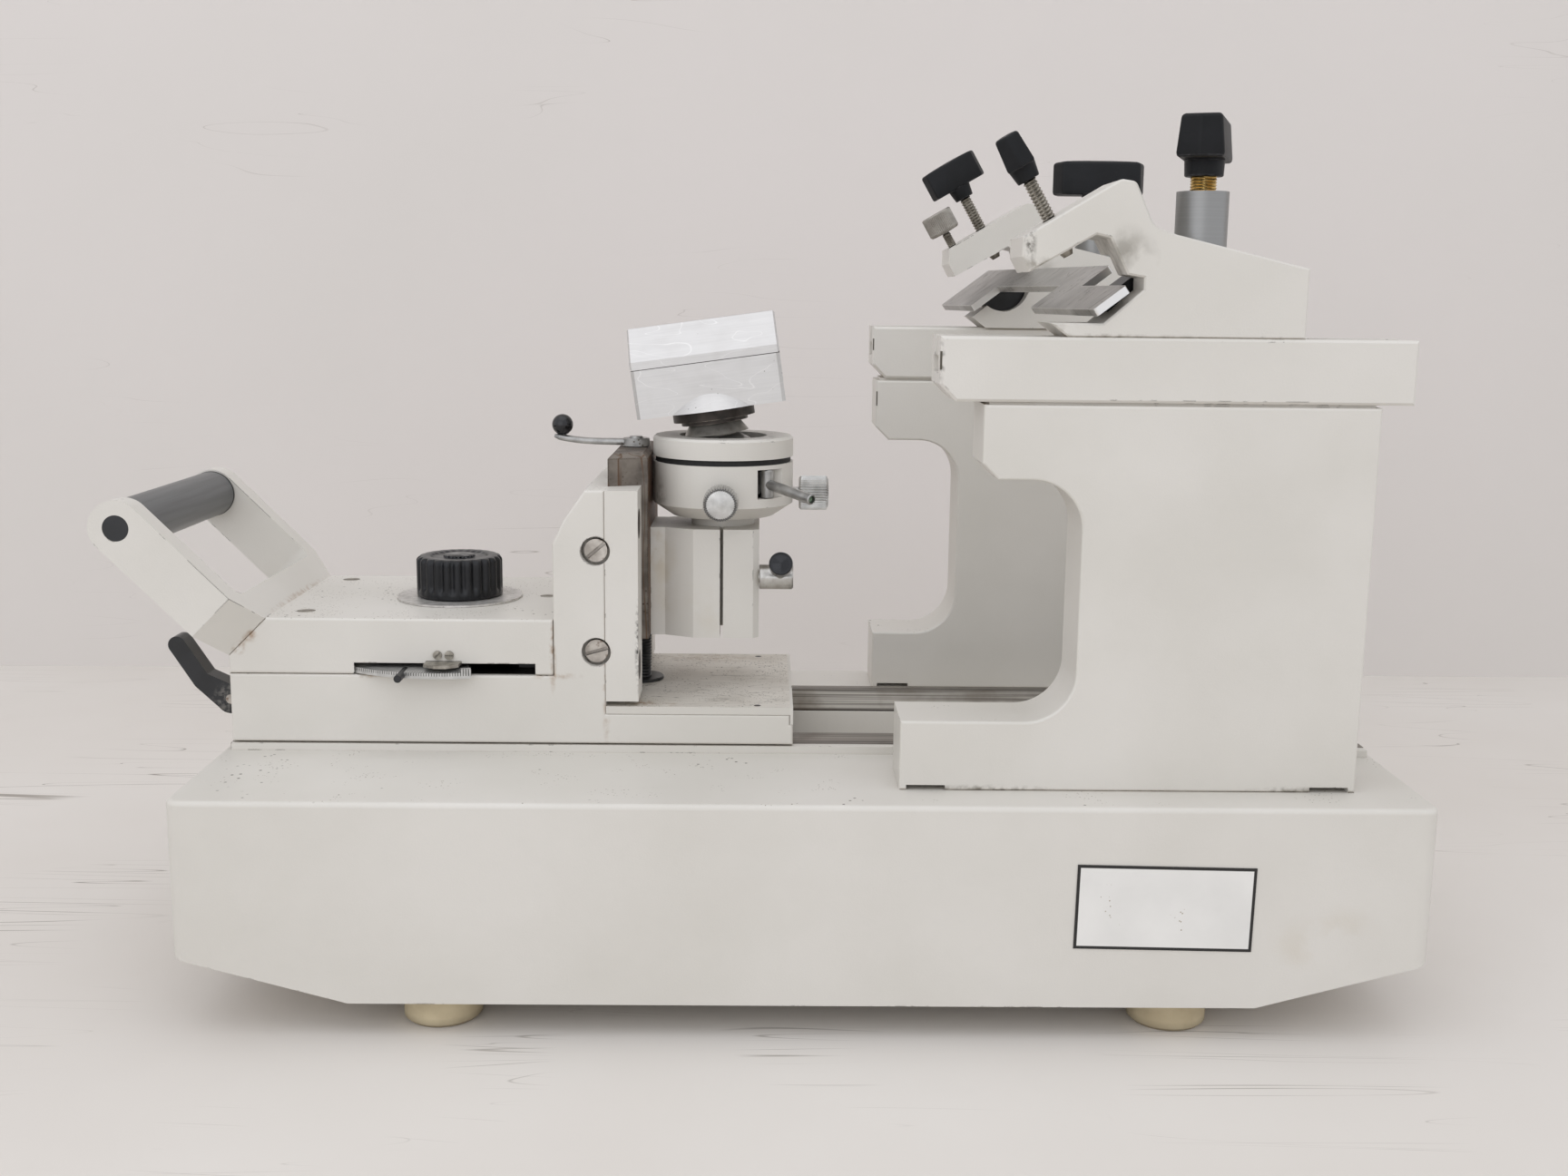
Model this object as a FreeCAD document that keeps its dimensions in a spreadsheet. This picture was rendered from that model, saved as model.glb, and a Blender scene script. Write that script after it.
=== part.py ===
import FreeCAD, Part
import os
import re
import Sketcher

# Sledge microtome on a cast bench base. Millimetres, +Z up, X along the bed, Y away from the operator.
# Every piece is drawn in the machine's own frame: X from the middle of the base, Y from its front face,
# Z from its top face. The placement of each finished piece then moves it to the model's origin, which is
# the point on the table under the middle of the whole machine.

doc = FreeCAD.newDocument("sledge_microtome")
sheet = doc.addObject("Spreadsheet::Sheet", "Sizes")

SIZES = {
    "Cast base": {
        "base_long": 700.0, "base_deep": 330.0, "base_tall": 116.0, "base_round": 9.0, "base_edge": 3.0,
        "base_wall": 14.0, "base_end_run": 97.0, "base_end_rise": 26.0, "cover_thick": 4.0,
        "cover_seat": 12.0, "cover_gap": 0.5, "boss_wall": 4.0, "origin_left": 32.0, "overrun": 1.0,
    },
    "Rubber feet": {
        "foot_radius": 22.25, "foot_tall": 19.0, "foot_edge": 2.0, "foot_left": 144.0,
        "foot_right": 139.0, "foot_in": 31.0,
    },
    "Bed and its rails": {
        "bed_front": 103.5, "bed_rim": 6.5, "bed_rise": 4.5, "bed_end": 5.0, "bed_root": 22.0,
        "trough_deep": 16.0,
        "flat_rail_wide": 25.0, "rail_rise": 4.8, "rail_seat_gap": 0.5,
        "vee_middle": 221.0, "vee_foot_wide": 60.0, "vee_foot_tall": 14.0, "vee_root": 17.0,
        "vee_shoulder": 2.0, "vee_crest": 5.0, "vee_tall": 13.0, "vee_gap": 0.12,
    },
    "Nameplate": {
        "plate_left": 150.4, "plate_top": 32.4, "plate_long": 99.2, "plate_tall": 48.6,
        "plate_sheet": 0.5, "plate_turn_angle": 0.9,
    },
    "Towers": {
        "tower_thick": 45.0, "tower_tall": 217.0, "tower_right": 312.0, "near_tower_front": 31.0,
        "far_tower_front": 277.0, "foot_start": 53.5, "foot_rise": 40.0, "arm_under": 176.0,
        "near_arm_start": 95.0, "far_arm_start": 53.0, "near_mouth": 151.0, "far_mouth": 111.0,
        "mouth_round": 28.0, "arm_bevel": 9.0, "tower_edge": 1.5, "relief_start": 4.0,
        "relief_long": 22.0, "relief_tall": 3.0, "pad_rise": 1.5, "pad_inset": 3.0,
        "tower_bolt_radius": 6.0, "tower_bolt_head": 8.2, "tower_bolt_in": 24.0, "tower_bolt_from": 40.0,
        "tower_bolt_head_tall": 8.0,
    },
    "Top rails": {
        "top_rail_long": 259.0, "top_rail_tall": 35.0, "top_rail_deep": 46.0, "near_rail_start": 70.5,
        "far_rail_start": 50.0, "slot_neck": 15.2, "slot_neck_deep": 11.0, "slot_head": 24.0,
        "slot_head_tall": 9.0, "top_rail_edge": 1.5,
    },
    "Sledge casting": {
        "sledge_start": -344.0, "sledge_long": 338.7, "sledge_front": 104.0, "sledge_deep": 149.5,
        "sledge_under": 5.3, "split_rise": 47.2, "platform_rise": 24.0, "platform_lip": 2.0,
        "lip_tall": 3.2, "column_start": -149.5, "column_face": -118.4, "column_tall": 159.5,
        "column_shoulder": 127.0, "column_bevel_in": 6.5, "column_bevel_rise": 14.0, "column_top_in": 19.5,
        "sledge_edge": 1.5, "end_cover_long": 1.8, "end_cover_drop": 6.0,
        "plate_thick": 4.6, "runner_seat": 13.0, "flat_runner_wide": 20.0, "vee_runner_wide": 44.0,
        "vee_runner_drop": 3.0, "slide_side_gap": 0.15,
        "runner_end": 14.0, "slide_gap": 0.1,
    },
    "Feed housing": {
        "housing_top": 81.4, "housing_end": -149.8, "housing_bevel": 23.0, "knob_x": -218.5,
        "knob_y": 178.75, "ring_window_end": -160.5, "ring_window_deep": 22.0, "ring_room_tall": 7.3,
        "ring_room_radius": 90.3, "housing_gap": 0.3, "post_radius": 8.0, "screw_head_radius": 5.5, "screw_head_tall": 3.0,
        "left_screw_x": -303.0, "front_screw_y": 127.4, "rear_screw_y": 239.0, "right_screw_x": -162.4,
        "right_screw_y": 184.0, "pointer_left": -226.0, "pointer_right": -205.0, "pointer_tip": 91.0,
        "pointer_thick": 1.8, "pointer_screw_left": -219.0, "pointer_screw_step": 7.0,
        "pointer_screw_rise": 59.5, "pointer_screw_radius": 2.7, "pointer_screw_tall": 1.2,
        "pointer_skin": 2.0, "pointer_lift": 1.2, "pointer_gap": 0.2, "driver_slot": 1.4,
        "driver_slot_deep": 1.5, "driver_slot_angle": 12.0, "pointer_slot": 0.9, "pointer_slot_deep": 0.6, "pointer_slot_angle": 45.0,
    },
    "Feed knob and dial": {
        "knob_radius": 27.0, "knob_tall": 25.5, "knob_edge": 3.0, "flute_radius": 2.4, "flute_out": 28.2,
        "flute_foot": 5.0, "flute_count": 24, "knob_cap_radius": 9.0, "knob_cap_tall": 1.0, "dial_radius": 39.5,
        "dial_thick": 1.2, "dial_gap": 0.2, "knob_shaft_radius": 6.0, "knob_shaft_long": 24.0,
        "running_gap": 0.06,
    },
    "Thickness ring": {
        "ring_radius": 89.0, "ring_thick": 3.5, "ring_lift": 0.8, "ring_hub": 18.0, "ring_sector_angle": 59.0,
        "ring_start_angle": -135.0, "room_start_angle": -152.0, "room_sector_angle": 102.0, "ring_pin_x": -238.5,
        "ring_pin_radius": 2.3, "ring_pin_tip": 82.0, "ring_pin_deep": 10.0, "ring_hub_gap": 1.0,
        "ring_stop_long": 6.0, "ring_stop_deep": 5.0, "ring_stop_tall": 5.4,
    },
    "Feed lever": {
        "lever_front": 133.0, "lever_thick": 14.0, "lever_pivot_x": -353.5, "lever_pivot_z": 24.0,
        "lever_pin_radius": 3.0, "lever_tip_radius": 5.4, "lever_tip_x": -385.0, "lever_tip_z": 58.0,
        "lever_ear": 9.0, "lever_ear_gap": 0.4, "lever_root": 9.0, "lever_elbow_x": -371.0,
        "lever_elbow_z": 36.0, "lever_arm": 5.6,
    },
    "Handle": {
        "handle_leg": 32.0, "leg_thick": 16.0, "handle_flare": 18.0, "flare_rise": 21.0,
        "handle_bar": 20.0, "grip_out": 95.0, "grip_radius": 15.0, "grip_gap": 0.3, "leg_round": 15.4,
        "window_round": 8.0, "handle_edge": 2.0, "cap_radius": 7.7, "cap_deep": 3.0, "rod_radius": 5.0,
    },
    "Column guide": {
        "gib_wide": 19.7, "gib_face": 30.0, "gib_back": 22.0, "gib_foot": 31.7, "gib_screw_x": -124.0,
        "gib_screw_high": 123.3, "gib_screw_low": 62.0, "gib_bore_radius": 8.8, "gib_bore_deep": 9.0,
        "gib_head_radius": 6.9, "gib_head_tall": 5.5, "gib_shank_radius": 4.0, "gib_shank_long": 16.0,
        "gib_slot": 2.2, "gib_slot_deep": 2.0, "gib_slot_high_angle": 40.0, "gib_slot_low_angle": 16.0,
        "slide_face": -94.6, "slide_foot": 64.0, "slide_top": 179.0, "slide_bevel": 3.0,
        "spindle_x": -103.0, "spindle_radius": 7.2, "spindle_in": 12.0, "spindle_bore": 34.0, "spindle_grip": 14.0,
        "spindle_washer": 15.0, "spindle_washer_thick": 2.0,
    },
    "Clamp block": {
        "block_right": -26.9, "block_front": 145.0, "block_foot": 62.8, "block_tall": 68.2,
        "block_neck": 9.3, "neck_long": 9.0, "neck_slope_long": 18.0, "block_bevel": 3.5,
        "head_x": -50.0, "slit_wide": 2.0, "stem_radius": 20.0, "bolt_y": 152.3, "bolt_z": 100.6,
        "bolt_radius": 4.0, "bolt_reach": 38.0, "bolt_head_radius": 7.8, "bolt_head_long": 21.2,
        "bar_x": -13.4, "bar_radius": 3.0, "bar_long": 28.0, "bar_angle": 23.0, "bar_cap_radius": 7.2,
        "bar_cap_long": 8.0,
    },
    "Slide lock lever": {
        "lock_x": -105.0, "lock_hub_radius": 8.5, "lock_hub_tall": 6.5, "lock_arm_rise": 1.2,
        "lock_arm_bend": 30.0, "lock_arm_lift": 2.0,
        "lock_arm_thick": 3.4, "lock_arm_wide": 8.0, "lock_arm_long": 46.4, "lock_ball_radius": 6.6,
        "lock_ball_rise": 13.3, "lock_neck_radius": 2.6,
    },
    "Swivel head": {
        "drum_radius": 44.2, "drum_foot": 137.0, "drum_top": 171.0, "drum_bevel_in": 12.0,
        "drum_bevel_rise": 8.0, "drum_floor": 142.0, "drum_bore": 37.0, "gasket_thick": 3.5,
        "gasket_radius": 42.6, "gasket_bore": 30.5, "cover_tall": 12.5, "cover_mouth": 27.5,
        "cover_hole_x": 30.9, "cover_hole_y": -16.4, "cover_hole_radius": 2.6, "cover_hole_deep": 6.0,
        "cover_throat": 29.2, "cover_edge": 1.5, "pivot_rise": 157.0, "notch_left": -28.0,
        "notch_right": -9.5, "notch_back": 154.8, "notch_foot": 150.5, "notch_tall": 18.0,
        "lock_rod_x": -22.0, "lock_rod_y": 148.5, "lock_rod_hub": 4.0, "lock_rod_radius": 3.2,
        "lock_rod_long": 44.0, "lock_rod_angle": -52.4, "lock_rod_dip_angle": 7.0, "lock_rod_pin": 1.8,
        "lock_rod_pin_long": 2.2, "stem_foot": 68.0,
    },
    "Tilt screws": {
        "thumb_radius": 10.8, "thumb_long": 18.5, "thumb_stem_radius": 3.8, "thumb_stem_long": 4.0,
        "thumb_shank_radius": 3.0, "thumb_shank_long": 5.2, "thumb_rise": 150.5,
        "thumb_edge": 1.6, "thumb_seat_gap": 0.3,
    },
    "Gimbal and ball": {
        "rest_tilt_angle": 8.0, "gimbal_bore": 33.4, "gimbal_radius": 36.2, "gimbal_tall": 12.0,
        "gimbal_pin_radius": 2.5, "gimbal_pin_in": 7.0, "gimbal_pin_out": 41.0, "gimbal_bore_end": 42.0,
        "ball_radius": 33.0, "ball_flat": 8.0, "neck_radius": 12.0, "neck_from": 30.0, "skirt_from": 31.5,
        "skirt_radius": 20.5, "skirt_top": 16.0, "skirt_tall": 7.0, "flange_step_radius": 21.0,
        "flange_step_tall": 2.5, "flange_radius": 25.8, "flange_tall": 6.6,
    },
    "Specimen vise": {
        "vise_half_long": 46.0, "vise_half_deep": 30.0, "vise_base_tall": 29.8, "vise_boss_radius": 38.4,
        "vise_boss_tall": 12.8, "vise_boss_top": 28.0, "vise_front_wall": 4.0, "jaw_band": 5.0, "jaw_tall": 25.2,
        "jaw_slope": 17.0, "jaw_gap": 1.0, "jaw_seat_gap": 0.1, "tongue_half_wide": 12.0,
        "tongue_deep": 19.0, "tongue_gap": 0.2, "tongue_back": 10.0, "jaw_travel": 12.0,
        "vise_screw_radius": 4.0, "vise_screw_drop": 11.4, "vise_head_radius": 8.5, "vise_head_long": 11.0,
        "vise_head_gap": 0.3, "vise_edge": 2.2, "vise_hex_radius": 4.0, "vise_hex_deep": 6.0,
    },
    "Knife blocks": {
        "knife_block_deep": 46.0, "knife_block_front": 33.0, "far_block_front": 275.0, "far_block_left": 12.6,
        "block_heel": 268.0, "block_heel_rise": 37.5, "block_back_x": 196.0, "block_back_rise": 54.6,
        "block_waist_x": 183.0, "block_waist_rise": 59.0, "block_peak_x": 172.5, "block_peak_rise": 82.2,
        "block_crown_x": 164.5, "block_crown_rise": 83.4, "arm_tip_x": 113.0, "arm_tip_rise": 52.6,
        "arm_tip_low_rise": 42.4, "arm_lip_x": 117.3, "arm_lip_rise": 34.4, "throat_top_x": 152.5,
        "throat_top_rise": 54.4, "throat_bend_x": 160.0, "throat_bend_rise": 52.6, "throat_wall_x": 170.0,
        "throat_wall_rise": 33.5, "undercut_x": 179.0, "undercut_rise": 32.0,
        "undercut_low_rise": 25.5, "far_floor_x": 130.5, "near_floor_x": 158.0,
        "floor_rise": 7.5, "shelf_x": 129.5, "block_toe_x": 139.5, "far_ledge_x": 167.0, "far_ledge_rise": 37.5,
        "block_edge": 1.0, "near_clamp_x": 213.3, "far_clamp_x": 204.5,
        "crown_round": 4.0, "waist_round": 9.0,
    },
    "Block clamps": {
        "sleeve_radius": 14.1, "sleeve_top": 78.3, "sleeve_low_rise": 36.0, "brass_radius": 7.2,
        "brass_gap": 0.25, "nut_wide": 22.6, "nut_long": 26.0, "nut_tall": 7.6, "nut_gap": 0.7,
        "near_knob_rise": 86.3, "far_knob_rise": 81.5, "hub_radius": 10.8, "hub_tall": 8.8,
        "wing_half_long": 31.5, "wing_half_thick": 12.8, "wing_tall": 23.4, "wing_crown": 1.8,
        "wing_edge": 3.0, "wing_prow": 5.0, "wing_draft": 2.4, "wing_turn_angle": 70.0,
    },
    "Knife tray": {
        "decline_angle": 9.3, "tray_pitch_angle": 36.0, "rocker_x": 137.7, "rocker_y": 277.0, "rocker_rise": 28.7,
        "tray_thick": 4.5, "tab_out": 29.7, "tab_in": 7.7, "bar_out": 12.3, "near_tab_end": 247.3,
        "near_tab_start": 140.9, "bar_near_end": 179.4, "far_tab_start": 15.2, "far_tab_end": 58.8,
        "rocker_radius": 17.0, "rocker_gap": 0.3, "near_rocker_from": 219.0, "near_rocker_long": 17.5,
        "far_rocker_from": 2.0, "far_rocker_long": 16.0, "rocker_end_gap": 2.0, "tray_corner": 1.5,
    },
    "Knife screws": {
        "screw_pitch_angle": 30.0, "near_screw_x": 130.3, "near_screw_rise": 63.3, "far_screw_x": 124.2,
        "far_screw_rise": 67.2, "knife_screw_radius": 4.0, "knife_screw_gap": 0.08,
        "near_screw_up": 23.5, "near_screw_down": 22.5, "far_screw_up": 23.5, "far_screw_down": 23.0,
        "screw_tip_radius": 2.9, "screw_tip_long": 3.0, "small_wing_half_long": 20.0,
        "small_wing_half_thick": 8.0, "small_wing_tall": 19.2, "small_hub_radius": 7.6,
        "small_hub_tall": 8.0, "small_wing_edge": 2.0, "small_wing_prow": 3.0, "small_wing_draft": 1.6,
        "small_wing_crown": 1.0, "small_wing_turn_angle": 80.0, "thumb_screw_x": 103.4, "thumb_screw_rise": 56.2,
        "thumb_screw_up": 9.0, "thumb_screw_down": 19.5, "thumb_screw_head": 10.6,
        "thumb_screw_head_tall": 14.4, "thumb_bolt_radius": 3.0, "thumb_screw_fore": 8.0,
    },
}

for row, (alias, value) in enumerate(
    (pair for part in SIZES.values() for pair in part.items()), start=1
):
    sheet.set(f"A{row}", alias)
    sheet.set(f"B{row}", str(value))
    sheet.setAlias(f"B{row}", alias)
ALIASES = {alias for part in SIZES.values() for alias in part}
doc.recompute()


def bound(text):
    """The text of a sum of sizes, with each size read from the sheet."""
    return re.sub(r"[a-z_]\w*", lambda m: "Sizes." + m[0] if m[0] in ALIASES else m[0], text)


def bind(thing, **sums):
    """Tie properties of an object to sums of sizes; __ stands for the dot in a property's name."""
    for name, text in sums.items():
        thing.setExpression(name.replace("__", "."), bound(text))
    return thing


def seat(thing, x="0", y="0", z="0", yaw="0", pitch="0", roll="0"):
    """Put a piece at a point of its frame, turned about Z, then Y, then X."""
    thing.setExpression("Placement", bound(
        f"placement(vector({x}; {y}; {z}); rotation({yaw}; {pitch}; {roll}))"))
    return thing


TURNED = {"X": ("0", "90", "0"), "Y": ("0", "0", "-90"), "Z": ("0", "0", "0")}


def block(name, x, y, z, long, deep, tall):
    """A box from its low corner and its three sides."""
    thing = doc.addObject("Part::Box", name)
    bind(thing, Length=long, Width=deep, Height=tall)
    return seat(thing, x, y, z)


def rod(name, axis, x, y, z, radius, long):
    """A round bar that starts at a point and runs along an axis."""
    thing = doc.addObject("Part::Cylinder", name)
    bind(thing, Radius=radius, Height=long)
    return seat(thing, x, y, z, *TURNED[axis])


def taper(name, axis, x, y, z, first, last, long):
    """A cone from its first radius to its last along an axis."""
    thing = doc.addObject("Part::Cone", name)
    bind(thing, Radius1=first, Radius2=last, Height=long)
    return seat(thing, x, y, z, *TURNED[axis])


def ball(name, x, y, z, radius):
    """A sphere about a point."""
    thing = doc.addObject("Part::Sphere", name)
    bind(thing, Radius=radius)
    return seat(thing, x, y, z)


def join(name, *parts):
    thing = doc.addObject("Part::MultiFuse", name)
    thing.Shapes = list(parts)
    return thing


def cut(name, base, *tools):
    """The base without its tools, which are joined first where there are several."""
    thing = doc.addObject("Part::Cut", name)
    thing.Base = base
    thing.Tool = tools[0] if len(tools) == 1 else group(name + "_tools", *tools)
    return thing


def overlap(name, first, second):
    thing = doc.addObject("Part::Common", name)
    thing.Base, thing.Tool = first, second
    return thing


def group(name, *parts):
    thing = doc.addObject("Part::Compound", name)
    thing.Links = list(parts)
    return thing


PLANES = {"XZ": ("XZ_Plane", "-({0}) - ({1})"), "XY": ("XY_Plane", "{0}"), "YZ": ("YZ_Plane", "{0}")}


def outline(body, name, plane, points, start, long):
    """A closed sketch whose corners are tied to the sheet, on one of the body's own planes."""
    sketch = body.newObject("Sketcher::SketchObject", name)
    role, offset = PLANES[plane]
    face = next(f for f in body.Origin.OriginFeatures if f.Role == role)
    sketch.AttachmentSupport = (face, [""])
    sketch.MapMode = "FlatFace"
    sketch.setExpression("AttachmentOffset.Base.z", bound(offset.format(start, long)))
    count = len(points)
    ring = Part.makeCircle(count).discretize(count + 1)
    sketch.addGeometry([Part.LineSegment(ring[i], ring[i + 1]) for i in range(count)], False)
    sketch.addConstraint(
        [Sketcher.Constraint("Coincident", i, 2, (i + 1) % count, 1) for i in range(count)])
    for i, (across, along) in enumerate(points):
        for kind, text in (("DistanceX", across), ("DistanceY", along)):
            number = sketch.addConstraint(Sketcher.Constraint(kind, i, 1, 1))
            sketch.setExpression(f"Constraints[{number}]", bound(text))
    return sketch


def profile(name, plane, points, start, long):
    """A body padded from an outline, between start and start + long across the outline's plane."""
    body = doc.addObject("PartDesign::Body", name)
    sketch = outline(body, name + "_outline", plane, points, start, long)
    pad = body.newObject("PartDesign::Pad", name + "_pad")
    pad.Profile = sketch
    bind(pad, Length=long)
    doc.recompute()
    return body


def turned(name, points):
    """A body revolved about Z from an outline of radius and height."""
    body = doc.addObject("PartDesign::Body", name)
    sketch = outline(body, name + "_outline", "XZ", points, "0", "0")
    spin = body.newObject("PartDesign::Revolution", name + "_turned")
    spin.Profile = sketch
    spin.ReferenceAxis = (sketch, ["V_Axis"])
    spin.Angle = 360
    doc.recompute()
    return body


def corner_edges(body, corners):
    """The pad's edges that run across its plane at the given corners of its outline."""
    sketch = body.Group[0]
    places = [sketch.Placement.multVec(sketch.Geometry[i].StartPoint) for i in corners]
    normal = sketch.Placement.Rotation.multVec(FreeCAD.Vector(0, 0, 1))
    found = []
    for number, edge in enumerate(body.Tip.Shape.Edges, start=1):
        first, last = edge.Vertexes[0].Point, edge.Vertexes[-1].Point
        run = last - first
        if run.Length < 1e-6 or run.cross(normal).Length > 1e-6 * run.Length:
            continue
        for place in places:
            if (first - place).cross(normal).Length < 1e-4:
                found.append(f"Edge{number}")
                break
    return found


def rim_edges(body, axis, side):
    """The edges of the flat face that lies furthest along an axis, on its high (1) or low (-1) side."""
    faces = [f for f in body.Tip.Shape.Faces if isinstance(f.Surface, Part.Plane)]
    key = {"X": 0, "Y": 1, "Z": 2}[axis]
    level = max(side * f.CenterOfMass[key] for f in faces if abs(f.normalAt(0, 0)[key]) > 0.999)
    outer = [f for f in faces
             if abs(f.normalAt(0, 0)[key]) > 0.999 and abs(side * f.CenterOfMass[key] - level) < 1e-4]
    wanted = [edge for face in outer for edge in face.OuterWire.Edges]
    return [f"Edge{n}" for n, edge in enumerate(body.Tip.Shape.Edges, start=1)
            if any(edge.isSame(w) for w in wanted)]


def soften(body, edges, size, kind="Fillet"):
    """A fillet or chamfer on chosen edges of a body."""
    before = body.Tip
    feature = body.newObject("PartDesign::" + kind, f"{body.Name}_{kind}_{len(body.Group)}")
    feature.Base = (before, edges)
    bind(feature, **{"Radius" if kind == "Fillet" else "Size": size})
    body.Tip = feature
    doc.recompute()
    return body


NODES = []


def node(name, thing, x="0", y="0", z="0", yaw="0", pitch="0", roll="0"):
    """Name a finished piece and move it from the machine's frame to the model's origin."""
    if any(path == "Placement" for path, _ in thing.ExpressionEngine):
        thing = group(name + "_piece", thing)
    thing.Label = name
    seat(thing, f"origin_left + ({x})", f"({y}) - base_deep / 2", f"base_tall + foot_tall + ({z})",
         yaw, pitch, roll)
    NODES.append(thing)
    return thing


def screw(name, axis, x, y, z, head, head_tall, shank, shank_long, gap="running_gap"):
    """A screw with its head flush at a point and its shank along an axis, and the seat cut for it."""
    side = {"X": (1, 0, 0), "Y": (0, 1, 0), "Z": (0, 0, -1)}[axis]
    solid, room = [], []
    for made, extra, lift in ((solid, "0", "0"), (room, gap, "overrun")):
        long = f"{head_tall} + {lift}"
        start = [f"{p} - {s} * ({lift if axis != 'Z' else head_tall})" if s > 0 else
                 (f"{p} - ({head_tall})" if s < 0 else p) for p, s in zip((x, y, z), side)]
        made.append(rod(f"{name}_head_{len(made)}_{extra}"[:40], axis, *start, f"{head} + {extra}", long))
        start = [f"{p} + {head_tall}" if s > 0 else
                 (f"{p} - ({head_tall}) - ({shank_long})" if s < 0 else p)
                 for p, s in zip((x, y, z), side)]
        made.append(rod(f"{name}_shank_{len(made)}_{extra}"[:40], axis, *start, f"{shank} + {extra}",
                        shank_long))
    return join(name, *solid), join(name + "_seat", *room)


def upright_edges(body):
    """Straight edges that stand parallel to Z."""
    return [f"Edge{n}" for n, e in enumerate(body.Tip.Shape.Edges, start=1)
            if len(e.Vertexes) > 1 and isinstance(e.Curve, Part.Line)
            and abs(e.Curve.Direction.z) > 0.9999]


# Cast base: a deep casting with its ends swept up from the floor, open below behind a cover plate, and
# with a raised bed on top that carries the two rails. Bosses inside take the four rubber feet.
HALF = "base_long / 2"
FLOOR = "base_long / 2 - base_end_run"
SWEEP = "0 - base_tall + base_end_rise"
shell = profile("base_shell", "XZ", [
    (f"0 - {HALF}", "0"), (f"0 - {HALF}", SWEEP), (f"0 - ({FLOOR})", "0 - base_tall"),
    (FLOOR, "0 - base_tall"), (HALF, SWEEP), (HALF, "0")], "0", "base_deep")
soften(shell, upright_edges(shell), "base_round")
soften(shell, rim_edges(shell, "Z", 1), "base_edge")
hollow = profile("base_hollow", "XZ", [
    (f"base_wall - {HALF}", "0 - base_wall"), (f"base_wall - {HALF}", f"{SWEEP} + base_wall"),
    (f"0 - ({FLOOR})", "base_wall - base_tall"), (f"base_wall - ({FLOOR})", "base_wall - base_tall"),
    (f"base_wall - ({FLOOR})", "0 - base_tall - overrun"),
    (f"{FLOOR} - base_wall", "0 - base_tall - overrun"),
    (f"{FLOOR} - base_wall", "base_wall - base_tall"), (FLOOR, "base_wall - base_tall"),
    (f"{HALF} - base_wall", f"{SWEEP} + base_wall"), (f"{HALF} - base_wall", "0 - base_wall")],
    "base_wall", "base_deep - 2 * base_wall")
FEET = [(x, y) for x in (f"foot_left - {HALF}", f"{HALF} - foot_right")
        for y in ("foot_in", "base_deep - foot_in")]
bosses = group("foot_bosses", *[
    rod(f"foot_boss_{i}", "Z", x, y, "0 - base_tall - overrun", "foot_radius + boss_wall",
        "base_tall") for i, (x, y) in enumerate(FEET)])
bed = block("bed", f"bed_end - {HALF}", "bed_front", "0 - bed_root", "base_long - 2 * bed_end",
            "vee_middle + vee_foot_wide / 2 + overrun - bed_front", "bed_root + bed_rise")
trough = block("trough", f"0 - {HALF}", "bed_front + bed_rim + flat_rail_wide", "bed_rise - trough_deep",
               "base_long",
               "vee_middle - vee_foot_wide / 2 - overrun - bed_front - bed_rim - flat_rail_wide",
               "trough_deep + overrun")
flat_seat = block("flat_rail_seat", f"bed_end - {HALF}", "bed_front + bed_rim", "0 - rail_seat_gap",
                  "base_long", "flat_rail_wide", "base_wall")
vee_seat = block("vee_rail_seat", f"0 - {HALF}", "vee_middle - vee_foot_wide / 2", "0 - vee_foot_tall",
                 "base_long", "vee_foot_wide", "base_wall + vee_foot_tall")

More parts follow.
